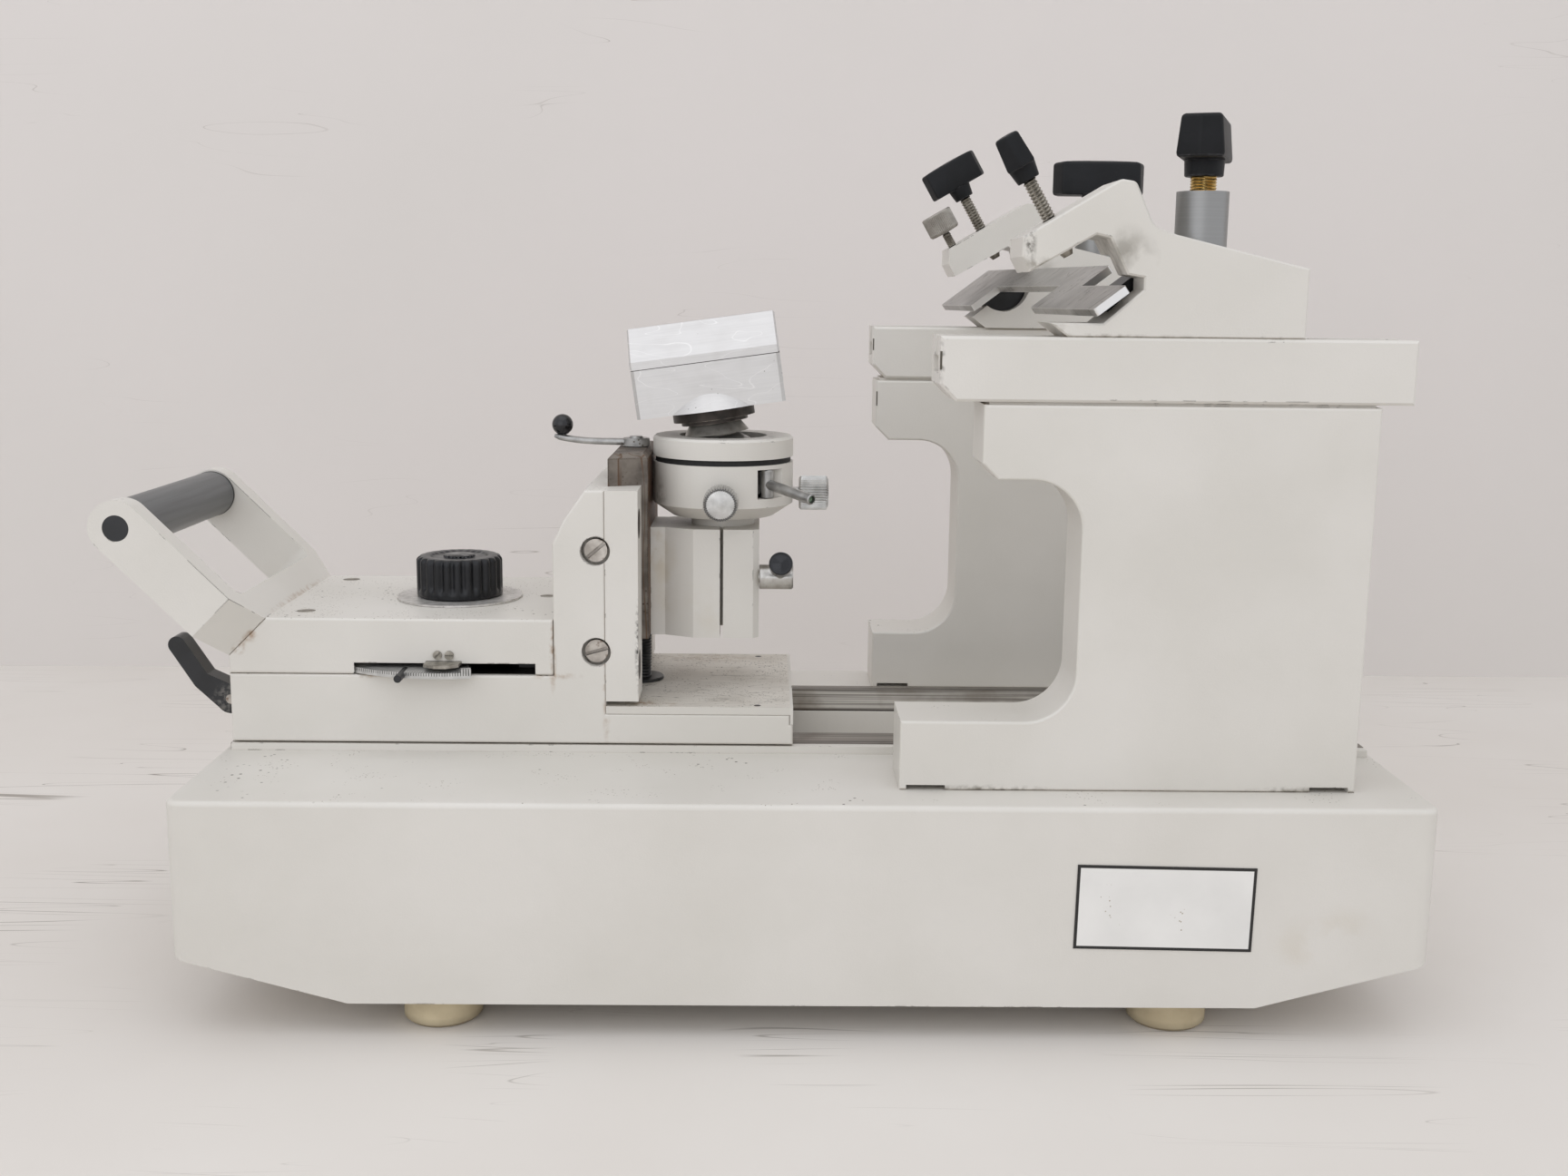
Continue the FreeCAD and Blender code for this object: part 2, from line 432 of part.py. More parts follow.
# Towers: two open C-shaped frames bolted to the base. Each stands on two feet with a relief between,
# and its arm reaches back over the sledge's end to carry a top rail.
TOWERS = {"near": ("near_tower_front", "near_mouth", "near_arm_start", "near_rail_start"),
          "far": ("far_tower_front", "far_mouth", "far_arm_start", "far_rail_start")}
RAIL_FOOT = "tower_tall + pad_rise"
RAIL_TOP = "tower_tall + pad_rise + top_rail_tall"
frames, rails, bolts, bolt_seats, rail_bolts, rail_bolt_seats = {}, {}, [], [], {}, {}
for side, (front, mouth, arm, rail) in TOWERS.items():
    frame = profile(f"{side}_frame", "XZ", [
        ("foot_start", "0"), ("foot_start", "foot_rise"), (mouth, "foot_rise"), (mouth, "arm_under"),
        (f"{arm} + arm_bevel", "arm_under"), (arm, "arm_under + arm_bevel"), (arm, "tower_tall"),
        ("tower_right", "tower_tall"), ("tower_right", "0")], front, "tower_thick")
    soften(frame, corner_edges(frame, [2, 3]), "mouth_round")
    soften(frame, rim_edges(frame, "Y", -1), "tower_edge")
    pad = block(f"{side}_pad", f"{arm} + pad_inset", f"{front} + pad_inset", "tower_tall - tower_edge",
                f"tower_right - {arm} - 2 * pad_inset", "tower_thick - 2 * pad_inset",
                "pad_rise + tower_edge")
    reliefs = [block(f"{side}_relief_{i}", x, f"{front} - overrun", "0 - overrun", "relief_long",
                     "tower_thick + 2 * overrun", "relief_tall + overrun")
               for i, x in enumerate(("foot_start + relief_start",
                                      "tower_right - relief_start - relief_long"))]
    for i, x in enumerate(("foot_start + tower_bolt_from", "tower_right - tower_bolt_from")):
        y = f"{front} + tower_thick / 2"
        bolt = join(f"{side}_bolt_{i}",
                    rod(f"{side}_bolt_head_{i}", "Z", x, y, "0 - base_wall - tower_bolt_head_tall",
                        "tower_bolt_head", "tower_bolt_head_tall"),
                    rod(f"{side}_bolt_shank_{i}", "Z", x, y, "0 - base_wall", "tower_bolt_radius",
                        "base_wall + tower_bolt_in"))
        bolts.append(bolt)
        bolt_seats.append(rod(f"{side}_bolt_seat_{i}", "Z", x, y, "0 - base_wall - overrun",
                              "tower_bolt_radius + running_gap",
                              "base_wall + tower_bolt_in + 2 * overrun"))
    middle = f"{front} + top_rail_deep / 2"
    plate = profile(f"{side}_rail_plate", "XZ", [
        (rail, RAIL_TOP), (rail, f"{RAIL_FOOT} + arm_bevel"), (f"{rail} + arm_bevel", RAIL_FOOT),
        (f"{rail} + top_rail_long", RAIL_FOOT), (f"{rail} + top_rail_long", RAIL_TOP)],
        front, "top_rail_deep")
    soften(plate, rim_edges(plate, "Y", -1), "top_rail_edge", "Chamfer")
    slot = [block(f"{side}_slot_neck", f"{rail} - overrun", f"{middle} - slot_neck / 2",
                  f"{RAIL_TOP} - slot_neck_deep", "top_rail_long + 2 * overrun", "slot_neck",
                  "slot_neck_deep + overrun"),
            block(f"{side}_slot_head", f"{rail} - overrun", f"{middle} - slot_head / 2",
                  f"{RAIL_TOP} - slot_neck_deep - slot_head_tall", "top_rail_long + 2 * overrun",
                  "slot_head", "slot_head_tall")]
    seats = []
    for i, x in enumerate((f"{arm} + tower_bolt_from", "tower_right - tower_bolt_from")):
        bolt, room = screw(f"{side}_rail_bolt_{i}", "Z", x, middle,
                           f"{RAIL_TOP} - slot_neck_deep - slot_head_tall", "gib_head_radius",
                           "gib_head_tall", "gib_shank_radius", "tower_bolt_in")
        bolts.append(bolt)
        seats.append(room)
    frames[side] = cut(f"{side}_frame_cut", join(f"{side}_frame_pad", frame, pad), *reliefs,
                       *bolt_seats[-2:], *seats)
    rails[side] = cut(f"{side}_rail_cut", plate, *slot, *seats)
    node(f"{side}_tower", frames[side])
    node(f"{side}_top_rail", rails[side])

node("base_casting", cut("base_cut", join("base_with_bed", shell, bed),
                         cut("base_room", hollow, bosses), trough, flat_seat, vee_seat, *bolt_seats))
node("frame_bolts", group("bolts", *bolts))
cover = block("cover_plate", f"base_wall - ({FLOOR}) + cover_gap", "base_wall + cover_gap",
              "0 - base_tall", f"2 * ({FLOOR} - base_wall - cover_gap)",
              "base_deep - 2 * (base_wall + cover_gap)", "cover_thick")
node("bottom_cover", cut("cover_cut", cover, *[
    rod(f"cover_notch_{i}", "Z", x, y, "0 - base_tall - overrun",
        "foot_radius + boss_wall + cover_gap", "cover_thick + 2 * overrun")
    for i, (x, y) in enumerate(FEET)]))
node("rubber_feet", group("feet", *[
    join(f"foot_{i}",
         taper(f"foot_toe_{i}", "Z", x, y, "0 - base_tall - foot_tall", "foot_radius - foot_edge",
               "foot_radius", "foot_edge"),
         rod(f"foot_stem_{i}", "Z", x, y, "0 - base_tall - foot_tall + foot_edge", "foot_radius",
             "foot_tall - foot_edge")) for i, (x, y) in enumerate(FEET)]))

# Nameplate: a thin bare plate stuck to the base's front face, turned a little out of level.
label = group("label", block("label_sheet", "0", "0 - plate_sheet", "0 - plate_tall", "plate_long",
                             "plate_sheet", "plate_tall"))
node("nameplate", label, "plate_left", "0", "0 - plate_top", pitch="plate_turn_angle")

# Bed rails: a flat way at the front and a vee way behind, both the length of the base.
flat_way = block("flat_way", f"bed_end - {HALF}", "bed_front + bed_rim", "0 - rail_seat_gap",
                 "base_long - 2 * bed_end", "flat_rail_wide", "rail_rise + rail_seat_gap")
VEE = [("vee_root", "vee_shoulder"), ("vee_crest", "vee_tall")]
vee_way = profile("vee_way", "YZ", [
    ("vee_middle - vee_foot_wide / 2", "0 - vee_foot_tall"),
    ("vee_middle + vee_foot_wide / 2", "0 - vee_foot_tall"),
    ("vee_middle + vee_foot_wide / 2", "0"), ("vee_middle + vee_root", "0"),
    ("vee_middle + vee_root", "vee_shoulder"), ("vee_middle + vee_crest", "vee_tall"),
    ("vee_middle - vee_crest", "vee_tall"), ("vee_middle - vee_root", "vee_shoulder"),
    ("vee_middle - vee_root", "0"), ("vee_middle - vee_foot_wide / 2", "0")],
    f"bed_end - {HALF}", "base_long - 2 * bed_end")
node("bed_rails", group("ways", flat_way, vee_way))

# Sledge: the long casting that slides on the two rails. Its left part carries the feed housing, its
# middle the upright column, and its right part a steel platform.
REAR = "sledge_front + sledge_deep"
RIGHT = "sledge_start + sledge_long"
casting = profile("sledge_casting", "XZ", [
    ("sledge_start", "sledge_under"), (RIGHT, "sledge_under"),
    (RIGHT, "platform_rise - end_cover_drop"),
    (f"{RIGHT} - end_cover_long", "platform_rise - end_cover_drop"),
    (f"{RIGHT} - end_cover_long", "platform_rise"), ("column_face", "platform_rise"),
    ("column_face", "column_tall"), ("column_start + column_top_in", "column_tall"),
    ("column_start + column_bevel_in", "column_shoulder + column_bevel_rise"),
    ("column_start", "column_shoulder"), ("column_start", "split_rise"),
    ("sledge_start", "split_rise")], "sledge_front", "sledge_deep")
soften(casting, rim_edges(casting, "Y", -1), "sledge_edge")
FLAT_MIDDLE = "bed_front + bed_rim + flat_rail_wide / 2"
runner_seats = [
    block("flat_runner_seat", "sledge_start + runner_end", f"{FLAT_MIDDLE} - flat_runner_wide / 2",
          "sledge_under - overrun", "sledge_long - 2 * runner_end", "flat_runner_wide",
          "runner_seat + overrun"),
    block("vee_runner_seat", "sledge_start + runner_end", "vee_middle - vee_runner_wide / 2",
          "sledge_under - overrun", "sledge_long - 2 * runner_end", "vee_runner_wide",
          "runner_seat + overrun"),
    profile("vee_room", "YZ", [
        ("vee_middle - vee_root - housing_gap", "0"), ("vee_middle + vee_root + housing_gap", "0"),
        ("vee_middle + vee_root + housing_gap", "vee_shoulder + housing_gap"),
        ("vee_middle + vee_crest + housing_gap", "vee_tall + overrun"),
        ("vee_middle - vee_crest - housing_gap", "vee_tall + overrun"),
        ("vee_middle - vee_root - housing_gap", "vee_shoulder + housing_gap")],
        "sledge_start - overrun", "sledge_long + 2 * overrun")]
flat_runner = block("flat_runner", "sledge_start + runner_end",
                    f"{FLAT_MIDDLE} - flat_runner_wide / 2", "rail_rise + slide_gap",
                    "sledge_long - 2 * runner_end", "flat_runner_wide",
                    "sledge_under + runner_seat - rail_rise - slide_gap")
vee_runner = cut("vee_runner",
                 block("vee_runner_bar", "sledge_start + runner_end",
                       "vee_middle - vee_runner_wide / 2", "sledge_under - vee_runner_drop",
                       "sledge_long - 2 * runner_end", "vee_runner_wide",
                       "runner_seat + vee_runner_drop"),
                 profile("vee_groove", "YZ", [
                     ("vee_middle - vee_root - vee_gap", "0"), ("vee_middle + vee_root + vee_gap", "0"),
                     ("vee_middle + vee_root + vee_gap", "vee_shoulder"),
                     ("vee_middle + vee_crest + vee_gap", "vee_tall"),
                     ("vee_middle + vee_crest", "vee_tall + vee_gap"),
                     ("vee_middle - vee_crest", "vee_tall + vee_gap"),
                     ("vee_middle - vee_crest - vee_gap", "vee_tall"),
                     ("vee_middle - vee_root - vee_gap", "vee_shoulder")],
                     "sledge_start", "sledge_long"))
node("sledge_runners", group("runners", flat_runner, vee_runner))
plate = block("platform", "column_face", "sledge_front", "platform_rise",
              f"{RIGHT} - end_cover_long - column_face", "sledge_deep", "plate_thick")
end_cap = block("end_cap", f"{RIGHT} - end_cover_long", "sledge_front",
                "platform_rise - end_cover_drop", "end_cover_long", "sledge_deep",
                "end_cover_drop + plate_thick")

# Feed housing: the box over the sledge's left part, with a low room inside for the thickness ring that
# opens through its front face, and a slanted end that carries the handle.
housing = profile("housing", "XZ", [
    ("sledge_start", "split_rise + housing_gap"), ("housing_end", "split_rise + housing_gap"),
    ("housing_end", "housing_top"), ("sledge_start + housing_bevel", "housing_top"),
    ("sledge_start", "housing_top - housing_bevel")], "sledge_front", "sledge_deep")
soften(housing, rim_edges(housing, "Y", -1), "sledge_edge")
ring_room = rod("ring_room", "Z", "knob_x", "knob_y", "split_rise", "ring_room_radius",
                "ring_room_tall")
bind(ring_room, Angle="room_sector_angle")
seat(ring_room, "knob_x", "knob_y", "split_rise", yaw="room_start_angle")
ring_hub_room = rod("ring_hub_room", "Z", "knob_x", "knob_y", "split_rise",
                    "ring_hub + ring_hub_gap", "ring_room_tall")
ring_window = block("ring_window", "knob_x", "sledge_front - overrun", "split_rise",
                    "ring_window_end - knob_x", "ring_window_deep", "ring_room_tall")
post = rod("ring_post", "Z", "knob_x", "knob_y", "split_rise", "post_radius", "ring_room_tall")
shaft_bore = rod("knob_bore", "Z", "knob_x", "knob_y", "housing_top - knob_shaft_long",
                 "knob_shaft_radius + running_gap", "knob_shaft_long + overrun")


def driver_slot(name, axis, x, y, z, radius, wide, deep, angle):
    """The slot across a screw's head, sunk from a point on the head's face, at an angle."""
    shape = {"Y": ("0 - overrun", f"0 - ({wide}) / 2", f"{deep} + overrun", wide),
             "Z": (f"0 - ({wide}) / 2", f"0 - ({deep})", wide, f"{deep} + overrun")}[axis]
    room = group(name, block(name + "_room", f"0 - {radius} - overrun", *shape[:2],
                             f"2 * ({radius} + overrun)", *shape[2:]))
    turn = {"pitch": f"0 - ({angle})"} if axis == "Y" else {"yaw": angle}
    return seat(room, x, y, z, **turn)


housing_bolts, housing_seats = [], []
for name, x, y in (("left_front", "left_screw_x", "front_screw_y"),
                   ("left_rear", "left_screw_x", "rear_screw_y"),
                   ("right_rear", "right_screw_x", "right_screw_y")):
    bolt, room = screw(f"housing_{name}", "Z", x, y, "housing_top", "screw_head_radius",
                       "screw_head_tall", "screw_head_radius / 2", "housing_top - split_rise")
    slot = driver_slot(f"housing_{name}_slot", "Z", x, y, "housing_top", "screw_head_radius",
                       "driver_slot", "driver_slot_deep", "driver_slot_angle")
    housing_bolts.append(cut(f"housing_{name}_slotted", bolt, slot))
    housing_seats.append(room)
POINTER_FOOT = "(split_rise + ring_room_tall + pointer_lift - pointer_thick)"
POINTER_BACK = "(sledge_front + pointer_skin + pointer_thick)"
FLANGE_TOP = "(2 * pointer_screw_rise - split_rise - ring_room_tall)"
pointer_rooms = [
    block("pointer_slot_room", "pointer_left - pointer_gap", "sledge_front - overrun", POINTER_FOOT,
          "pointer_right - pointer_left + 2 * pointer_gap", f"{POINTER_BACK} - sledge_front + overrun",
          "pointer_thick + pointer_gap"),
    block("pointer_flange_room", "pointer_left - pointer_gap", "sledge_front + pointer_skin",
          POINTER_FOOT, "pointer_right - pointer_left + 2 * pointer_gap",
          "pointer_thick + pointer_gap", f"{FLANGE_TOP} - {POINTER_FOOT} + pointer_gap")]
node("feed_housing", cut("housing_cut", housing, ring_room, ring_hub_room, ring_window, shaft_bore,
                         *housing_seats, *pointer_rooms))
lug = profile("pointer_lug", "XY", [
    ("pointer_left", POINTER_BACK),
    ("pointer_left", "pointer_tip + (sledge_front - pointer_tip) / 3"),
    ("pointer_left + (pointer_right - pointer_left) / 3", "pointer_tip"),
    ("pointer_right - (pointer_right - pointer_left) / 3", "pointer_tip"),
    ("pointer_right", "pointer_tip + (sledge_front - pointer_tip) / 3"),
    ("pointer_right", POINTER_BACK)], POINTER_FOOT, "pointer_thick")
flange = block("pointer_flange", "pointer_left", "sledge_front + pointer_skin", POINTER_FOOT,
               "pointer_right - pointer_left", "pointer_thick", f"{FLANGE_TOP} - {POINTER_FOOT}")
node("index_pointer", join("pointer", lug, flange))
pointer_bolts = []
for i in (0, 1):
    x = f"pointer_screw_left + {i} * pointer_screw_step"
    head = rod(f"pointer_screw_{i}", "Y", x, "sledge_front - pointer_screw_tall",
               "pointer_screw_rise", "pointer_screw_radius", "pointer_screw_tall")
    slot = driver_slot(f"pointer_slot_{i}", "Y", x, "sledge_front - pointer_screw_tall",
                       "pointer_screw_rise", "pointer_screw_radius", "pointer_slot",
                       "pointer_slot_deep", f"pointer_slot_angle * {1 - i}")
    pointer_bolts.append(cut(f"pointer_screw_slotted_{i}", head, slot))
node("housing_screws", group("housing_screw_set", *housing_bolts, *pointer_bolts))

# Handle: one casting whose two legs rise from the housing's slanted end and hold the grip between
# them. It is drawn flat, X across the sledge and Y out of the slanted face.
legs = profile("handle_legs", "XY", [
    ("sledge_front", "0"), (REAR, "0"), (f"{REAR} + handle_flare", "flare_rise"),
    (f"{REAR} + handle_flare", "grip_out + leg_thick"),
    (f"{REAR} + handle_flare - leg_thick", "grip_out + leg_thick"),
    (f"{REAR} + handle_flare - leg_thick", "handle_bar"),
    ("sledge_front - handle_flare + leg_thick", "handle_bar"),
    ("sledge_front - handle_flare + leg_thick", "grip_out + leg_thick"),
    ("sledge_front - handle_flare", "grip_out + leg_thick"),
    ("sledge_front - handle_flare", "flare_rise")], "0 - handle_leg / 2", "handle_leg")
soften(legs, corner_edges(legs, [5, 6]), "window_round")
LEG_LEFT = "sledge_front - handle_flare"
tops = [f"Edge{n}" for n, e in enumerate(legs.Tip.Shape.Edges, start=1)
        if isinstance(e.Curve, Part.Line) and abs(e.Curve.Direction.x) > 0.9999
        and abs(e.CenterOfMass.y - sheet.get("grip_out") - sheet.get("leg_thick")) < 1e-4]
soften(legs, tops, "leg_round")
cap_seats = []
caps = []
for i, (x, out) in enumerate(((LEG_LEFT, "overrun"), (f"{REAR} + handle_flare - cap_deep", "0"))):
    cap_seats.append(rod(f"cap_seat_{i}", "X", f"{x} - {out}", "grip_out", "0", "cap_radius",
                         "cap_deep + overrun"))
    caps.append(rod(f"grip_cap_{i}", "X", x, "grip_out", "0", "cap_radius - running_gap", "cap_deep"))
rod_seat = rod("rod_seat", "X", LEG_LEFT, "grip_out", "0", "rod_radius + running_gap",
               "sledge_deep + 2 * handle_flare")
core = rod("grip_core", "X", f"{LEG_LEFT} + cap_deep / 2", "grip_out", "0", "rod_radius",
           "sledge_deep + 2 * handle_flare - cap_deep")
tube = cut("grip_tube_cut",
           rod("grip_outer", "X", f"{LEG_LEFT} + leg_thick + grip_gap", "grip_out", "0", "grip_radius",
               "sledge_deep + 2 * (handle_flare - leg_thick - grip_gap)"),
           rod("grip_inner", "X", LEG_LEFT, "grip_out", "0", "rod_radius + running_gap",
               "sledge_deep + 2 * handle_flare"))
LEANED = dict(x="sledge_start + housing_bevel / 2", z="housing_top - housing_bevel / 2",
              yaw="90", roll="45")
node("handle", cut("handle_cut", legs, *cap_seats, rod_seat), **LEANED)
node("grip_tube", tube, **LEANED)
node("grip_rod", join("rod_and_caps", core, *caps), **LEANED)

# Column guide: two dovetail gibs screwed to the column's front, and the slide that runs between them.
near_gib = profile("near_gib_bar", "XY", [
    ("column_face", "sledge_front"), ("column_face + gib_wide", "sledge_front"),
    ("column_face + gib_wide", "sledge_front + gib_face"),
    ("column_face", "sledge_front + gib_back")], "gib_foot", "column_tall - gib_foot")
far_gib = profile("far_gib_bar", "XY", [
    ("column_face", REAR), ("column_face", f"{REAR} - gib_back"),
    ("column_face + gib_wide", f"{REAR} - gib_face"), ("column_face + gib_wide", REAR)],
    "gib_foot", "column_tall - gib_foot")
gib_bolts, gib_rooms = [], []
for i, z in enumerate(("gib_screw_high", "gib_screw_low")):
    gib_rooms.append(rod(f"gib_bore_{i}", "Y", "gib_screw_x", "sledge_front - overrun", z,
                         "gib_bore_radius", "gib_bore_deep + overrun"))
    gib_rooms.append(rod(f"gib_hole_{i}", "Y", "gib_screw_x", "sledge_front", z,
                         "gib_shank_radius + running_gap", "gib_bore_deep + gib_shank_long"))
    face = "sledge_front + gib_bore_deep - gib_head_tall"
    whole = join(f"gib_screw_{i}",
                 rod(f"gib_screw_head_{i}", "Y", "gib_screw_x", face, z, "gib_head_radius",
                     "gib_head_tall"),
                 rod(f"gib_screw_shank_{i}", "Y", "gib_screw_x", "sledge_front + gib_bore_deep", z,
                     "gib_shank_radius", "gib_shank_long"))
    slot = driver_slot(f"gib_slot_{i}", "Y", "gib_screw_x", face, z, "gib_head_radius", "gib_slot",
                       "gib_slot_deep", z.replace("screw", "slot") + "_angle")
    gib_bolts.append(cut(f"gib_screw_slotted_{i}", whole, slot))
node("near_gib", cut("near_gib_cut", near_gib, *gib_rooms))
node("far_gib", far_gib)
node("gib_screws", group("gib_screw_set", *gib_bolts))
spindle_hole = rod("spindle_hole", "Z", "spindle_x", "knob_y", "platform_rise - spindle_in",
                   "spindle_radius + running_gap", "spindle_in + plate_thick + overrun")
ears, ear_rooms = [], []
EAR_Y = "lever_front + lever_thick + lever_ear_gap"
ears += [rod("ear", "Y", "lever_pivot_x", EAR_Y, "lever_pivot_z", "lever_root", "lever_ear"),
         block("ear_root", "lever_pivot_x", EAR_Y, "lever_pivot_z - lever_root",
               "sledge_start - lever_pivot_x + sledge_edge", "lever_ear", "2 * lever_root")]
lever_pin = rod("lever_pin_rod", "Y", "lever_pivot_x", "lever_front", "lever_pivot_z",
                "lever_pin_radius", "lever_thick + lever_ear_gap + lever_ear")
lever_pin_bore = rod("lever_pin_bore", "Y", "lever_pivot_x", "lever_front - overrun", "lever_pivot_z",
                     "lever_pin_radius + running_gap",
                     "lever_thick + lever_ear_gap + lever_ear + 2 * overrun")
housing_taps = group("housing_taps", *housing_seats)
node("sledge_body", cut("sledge_cut", join("sledge_with_post", casting, post, *ears), *runner_seats,
                        spindle_hole, lever_pin_bore, *gib_rooms,
                        overlap("tapped_holes", housing_taps,
                                block("tap_zone", "sledge_start", "sledge_front", "sledge_under",
                                      "sledge_long", "sledge_deep", "split_rise - sledge_under"))))
node("platform_plate", cut("platform_cut", plate, spindle_hole))
node("platform_end_cap", end_cap)
node("lever_pin", lever_pin)

# Coarse feed lever: a bent black arm that stands out of the sledge's left end on a cross pin.
bar = profile("lever_bar", "XZ", [
    ("lever_pivot_x + lever_root * 0.57", "lever_pivot_z + lever_root * 0.82"),
    ("lever_elbow_x + lever_arm * 0.71", "lever_elbow_z + lever_arm * 0.71"),
    ("lever_tip_x + lever_tip_radius * 0.84", "lever_tip_z + lever_tip_radius * 0.54"),
    ("lever_tip_x - lever_tip_radius * 0.84", "lever_tip_z - lever_tip_radius * 0.54"),
    ("lever_elbow_x - lever_arm * 0.71", "lever_elbow_z - lever_arm * 0.71"),
    ("lever_pivot_x - lever_root * 0.57", "lever_pivot_z - lever_root * 0.82")],
    "lever_front", "lever_thick")
lever = join("lever_arm_set", bar,
             rod("lever_eye", "Y", "lever_pivot_x", "lever_front", "lever_pivot_z", "lever_root",
                 "lever_thick"),
             rod("lever_end", "Y", "lever_tip_x", "lever_front", "lever_tip_z", "lever_tip_radius",
                 "lever_thick"))
node("feed_lever", cut("lever_cut", lever, lever_pin_bore))

# Feed knob: a ribbed knob on a graduated dial, turned by hand to raise the specimen.
KNOB_FOOT = "housing_top + dial_gap + dial_thick + dial_gap"
grip = cut("knob_grip",
           join("knob_round",
                rod("knob_wall", "Z", "knob_x", "knob_y", KNOB_FOOT, "knob_radius",
                    "knob_tall - knob_edge"),
                taper("knob_shoulder", "Z", "knob_x", "knob_y",
                      f"{KNOB_FOOT} + knob_tall - knob_edge", "knob_radius", "knob_radius - knob_edge",
                      "knob_edge"),
                rod("knob_cap", "Z", "knob_x", "knob_y", f"{KNOB_FOOT} + knob_tall",
                    "knob_cap_radius", "knob_cap_tall"),
                rod("knob_shaft", "Z", "knob_x", "knob_y", "housing_top - knob_shaft_long + overrun",
                    "knob_shaft_radius", f"{KNOB_FOOT} - housing_top + knob_shaft_long")),
           *[rod(f"flute_{i}", "Z", f"knob_x + flute_out * cos({i} * 360 / flute_count)",
                 f"knob_y + flute_out * sin({i} * 360 / flute_count)", f"{KNOB_FOOT} + flute_foot",
                 "flute_radius", "knob_tall") for i in range(int(sheet.get("flute_count")))])
node("feed_knob", grip)
node("feed_dial", cut("dial", rod("dial_disc", "Z", "knob_x", "knob_y", "housing_top + dial_gap",
                                  "dial_radius", "dial_thick"),
                      rod("dial_bore", "Z", "knob_x", "knob_y", "housing_top",
                          "knob_shaft_radius + running_gap", "dial_radius")))

# Thickness ring: a flat sector on a post inside the housing, moved by the black pin at its front.
RING_FOOT = "split_rise + ring_lift"
sector = rod("ring_sector", "Z", "knob_x", "knob_y", RING_FOOT, "ring_radius", "ring_thick")
bind(sector, Angle="ring_sector_angle")
seat(sector, "knob_x", "knob_y", RING_FOOT, yaw="ring_start_angle")
pin = rod("ring_pin_rod", "Y", "ring_pin_x", "ring_pin_tip", f"{RING_FOOT} + ring_thick / 2",
          "ring_pin_radius", "sledge_front - ring_pin_tip")
stop = group("ring_stop", block("ring_stop_block", "ring_radius - ring_stop_deep", "0 - ring_stop_long",
                                "0", "ring_stop_deep - slide_gap", "ring_stop_long", "ring_stop_tall"))
seat(stop, "knob_x", "knob_y", RING_FOOT, yaw="ring_start_angle + ring_sector_angle")
ring = join("ring_with_hub", sector, stop,
            rod("ring_hub_disc", "Z", "knob_x", "knob_y", RING_FOOT, "ring_hub", "ring_thick"))
node("thickness_ring", cut("ring_cut", ring, pin,
                           rod("ring_bore", "Z", "knob_x", "knob_y", "split_rise",
                               "post_radius + running_gap", "ring_room_tall")))
node("ring_pin", pin)

# Lift spindle and the slide that it raises.
node("lift_spindle", join("spindle",
                          rod("spindle_rod", "Z", "spindle_x", "knob_y",
                              "platform_rise - spindle_in + slide_gap", "spindle_radius",
                              "slide_foot + spindle_grip - platform_rise + spindle_in"),
                          rod("spindle_collar", "Z", "spindle_x", "knob_y",
                              "platform_rise + plate_thick + slide_gap", "spindle_washer",
                              "spindle_washer_thick")))
MIDDLE = "knob_y"
slide = profile("slide_block", "XY", [
    ("column_face + slide_gap", "sledge_front + gib_back + slide_side_gap"),
    ("column_face + gib_wide", "sledge_front + gib_face + slide_side_gap"),
    ("slide_face", "sledge_front + gib_face + slide_side_gap"),
    ("slide_face", f"{REAR} - gib_face - slide_side_gap"),
    ("column_face + gib_wide", f"{REAR} - gib_face - slide_side_gap"),
    ("column_face + slide_gap", f"{REAR} - gib_back - slide_side_gap")],
    "slide_foot", "slide_top - slide_foot")
soften(slide, rim_edges(slide, "Z", 1), "slide_bevel", "Chamfer")
node("lift_slide", cut("slide_cut", slide,
                       rod("spindle_bore_room", "Z", "spindle_x", "knob_y", "slide_foot - overrun",
                           "spindle_radius + running_gap", "spindle_bore + overrun")))

# Clamp block: a split block on the slide that grips the swivel head's stem.
BLOCK_REAR = "2 * knob_y - block_front"
clamp = profile("clamp_body", "XY", [
    ("slide_face", "block_front + block_neck"), ("slide_face + neck_long", "block_front + block_neck"),
    ("slide_face + neck_long + neck_slope_long", "block_front"),
    ("block_right - block_bevel", "block_front"), ("block_right", "block_front + block_bevel"),
    ("block_right", f"{BLOCK_REAR} - block_bevel"), ("block_right - block_bevel", BLOCK_REAR),
    ("slide_face + neck_long + neck_slope_long", BLOCK_REAR),
    ("slide_face + neck_long", f"{BLOCK_REAR} - block_neck"),
    ("slide_face", f"{BLOCK_REAR} - block_neck")], "block_foot", "block_tall")
stem_bore = rod("stem_bore", "Z", "head_x", "knob_y", "block_foot - overrun",
                "stem_radius + running_gap", "block_tall + 2 * overrun")
slit = block("clamp_slit", "head_x - slit_wide / 2", "block_front - overrun", "block_foot - overrun",
             "slit_wide", "knob_y - block_front", "block_tall + 2 * overrun")
bolt_bore = rod("bolt_bore", "X", "block_right - bolt_reach", "bolt_y", "bolt_z",
                "bolt_radius + running_gap", "bolt_reach + overrun")
node("clamp_block", cut("clamp_cut", clamp, stem_bore, slit, bolt_bore))
tommy = rod("tommy_bar_rod", "Z", "bar_x - block_right", "0", "0", "bar_radius", "bar_long")
tommy_cap = rod("tommy_cap", "Z", "bar_x - block_right", "0", "bar_long - slide_gap",
                "bar_cap_radius", "bar_cap_long")
node("clamp_bolt", join("bolt_parts",
                        rod("bolt_shank", "X", "overrun - bolt_reach", "0", "0", "bolt_radius",
                            "bolt_reach"),
                        rod("bolt_head", "X", "housing_gap", "0", "0", "bolt_head_radius",
                            "bolt_head_long"), tommy, tommy_cap),
     "block_right", "bolt_y", "bolt_z", roll="90 - bar_angle")

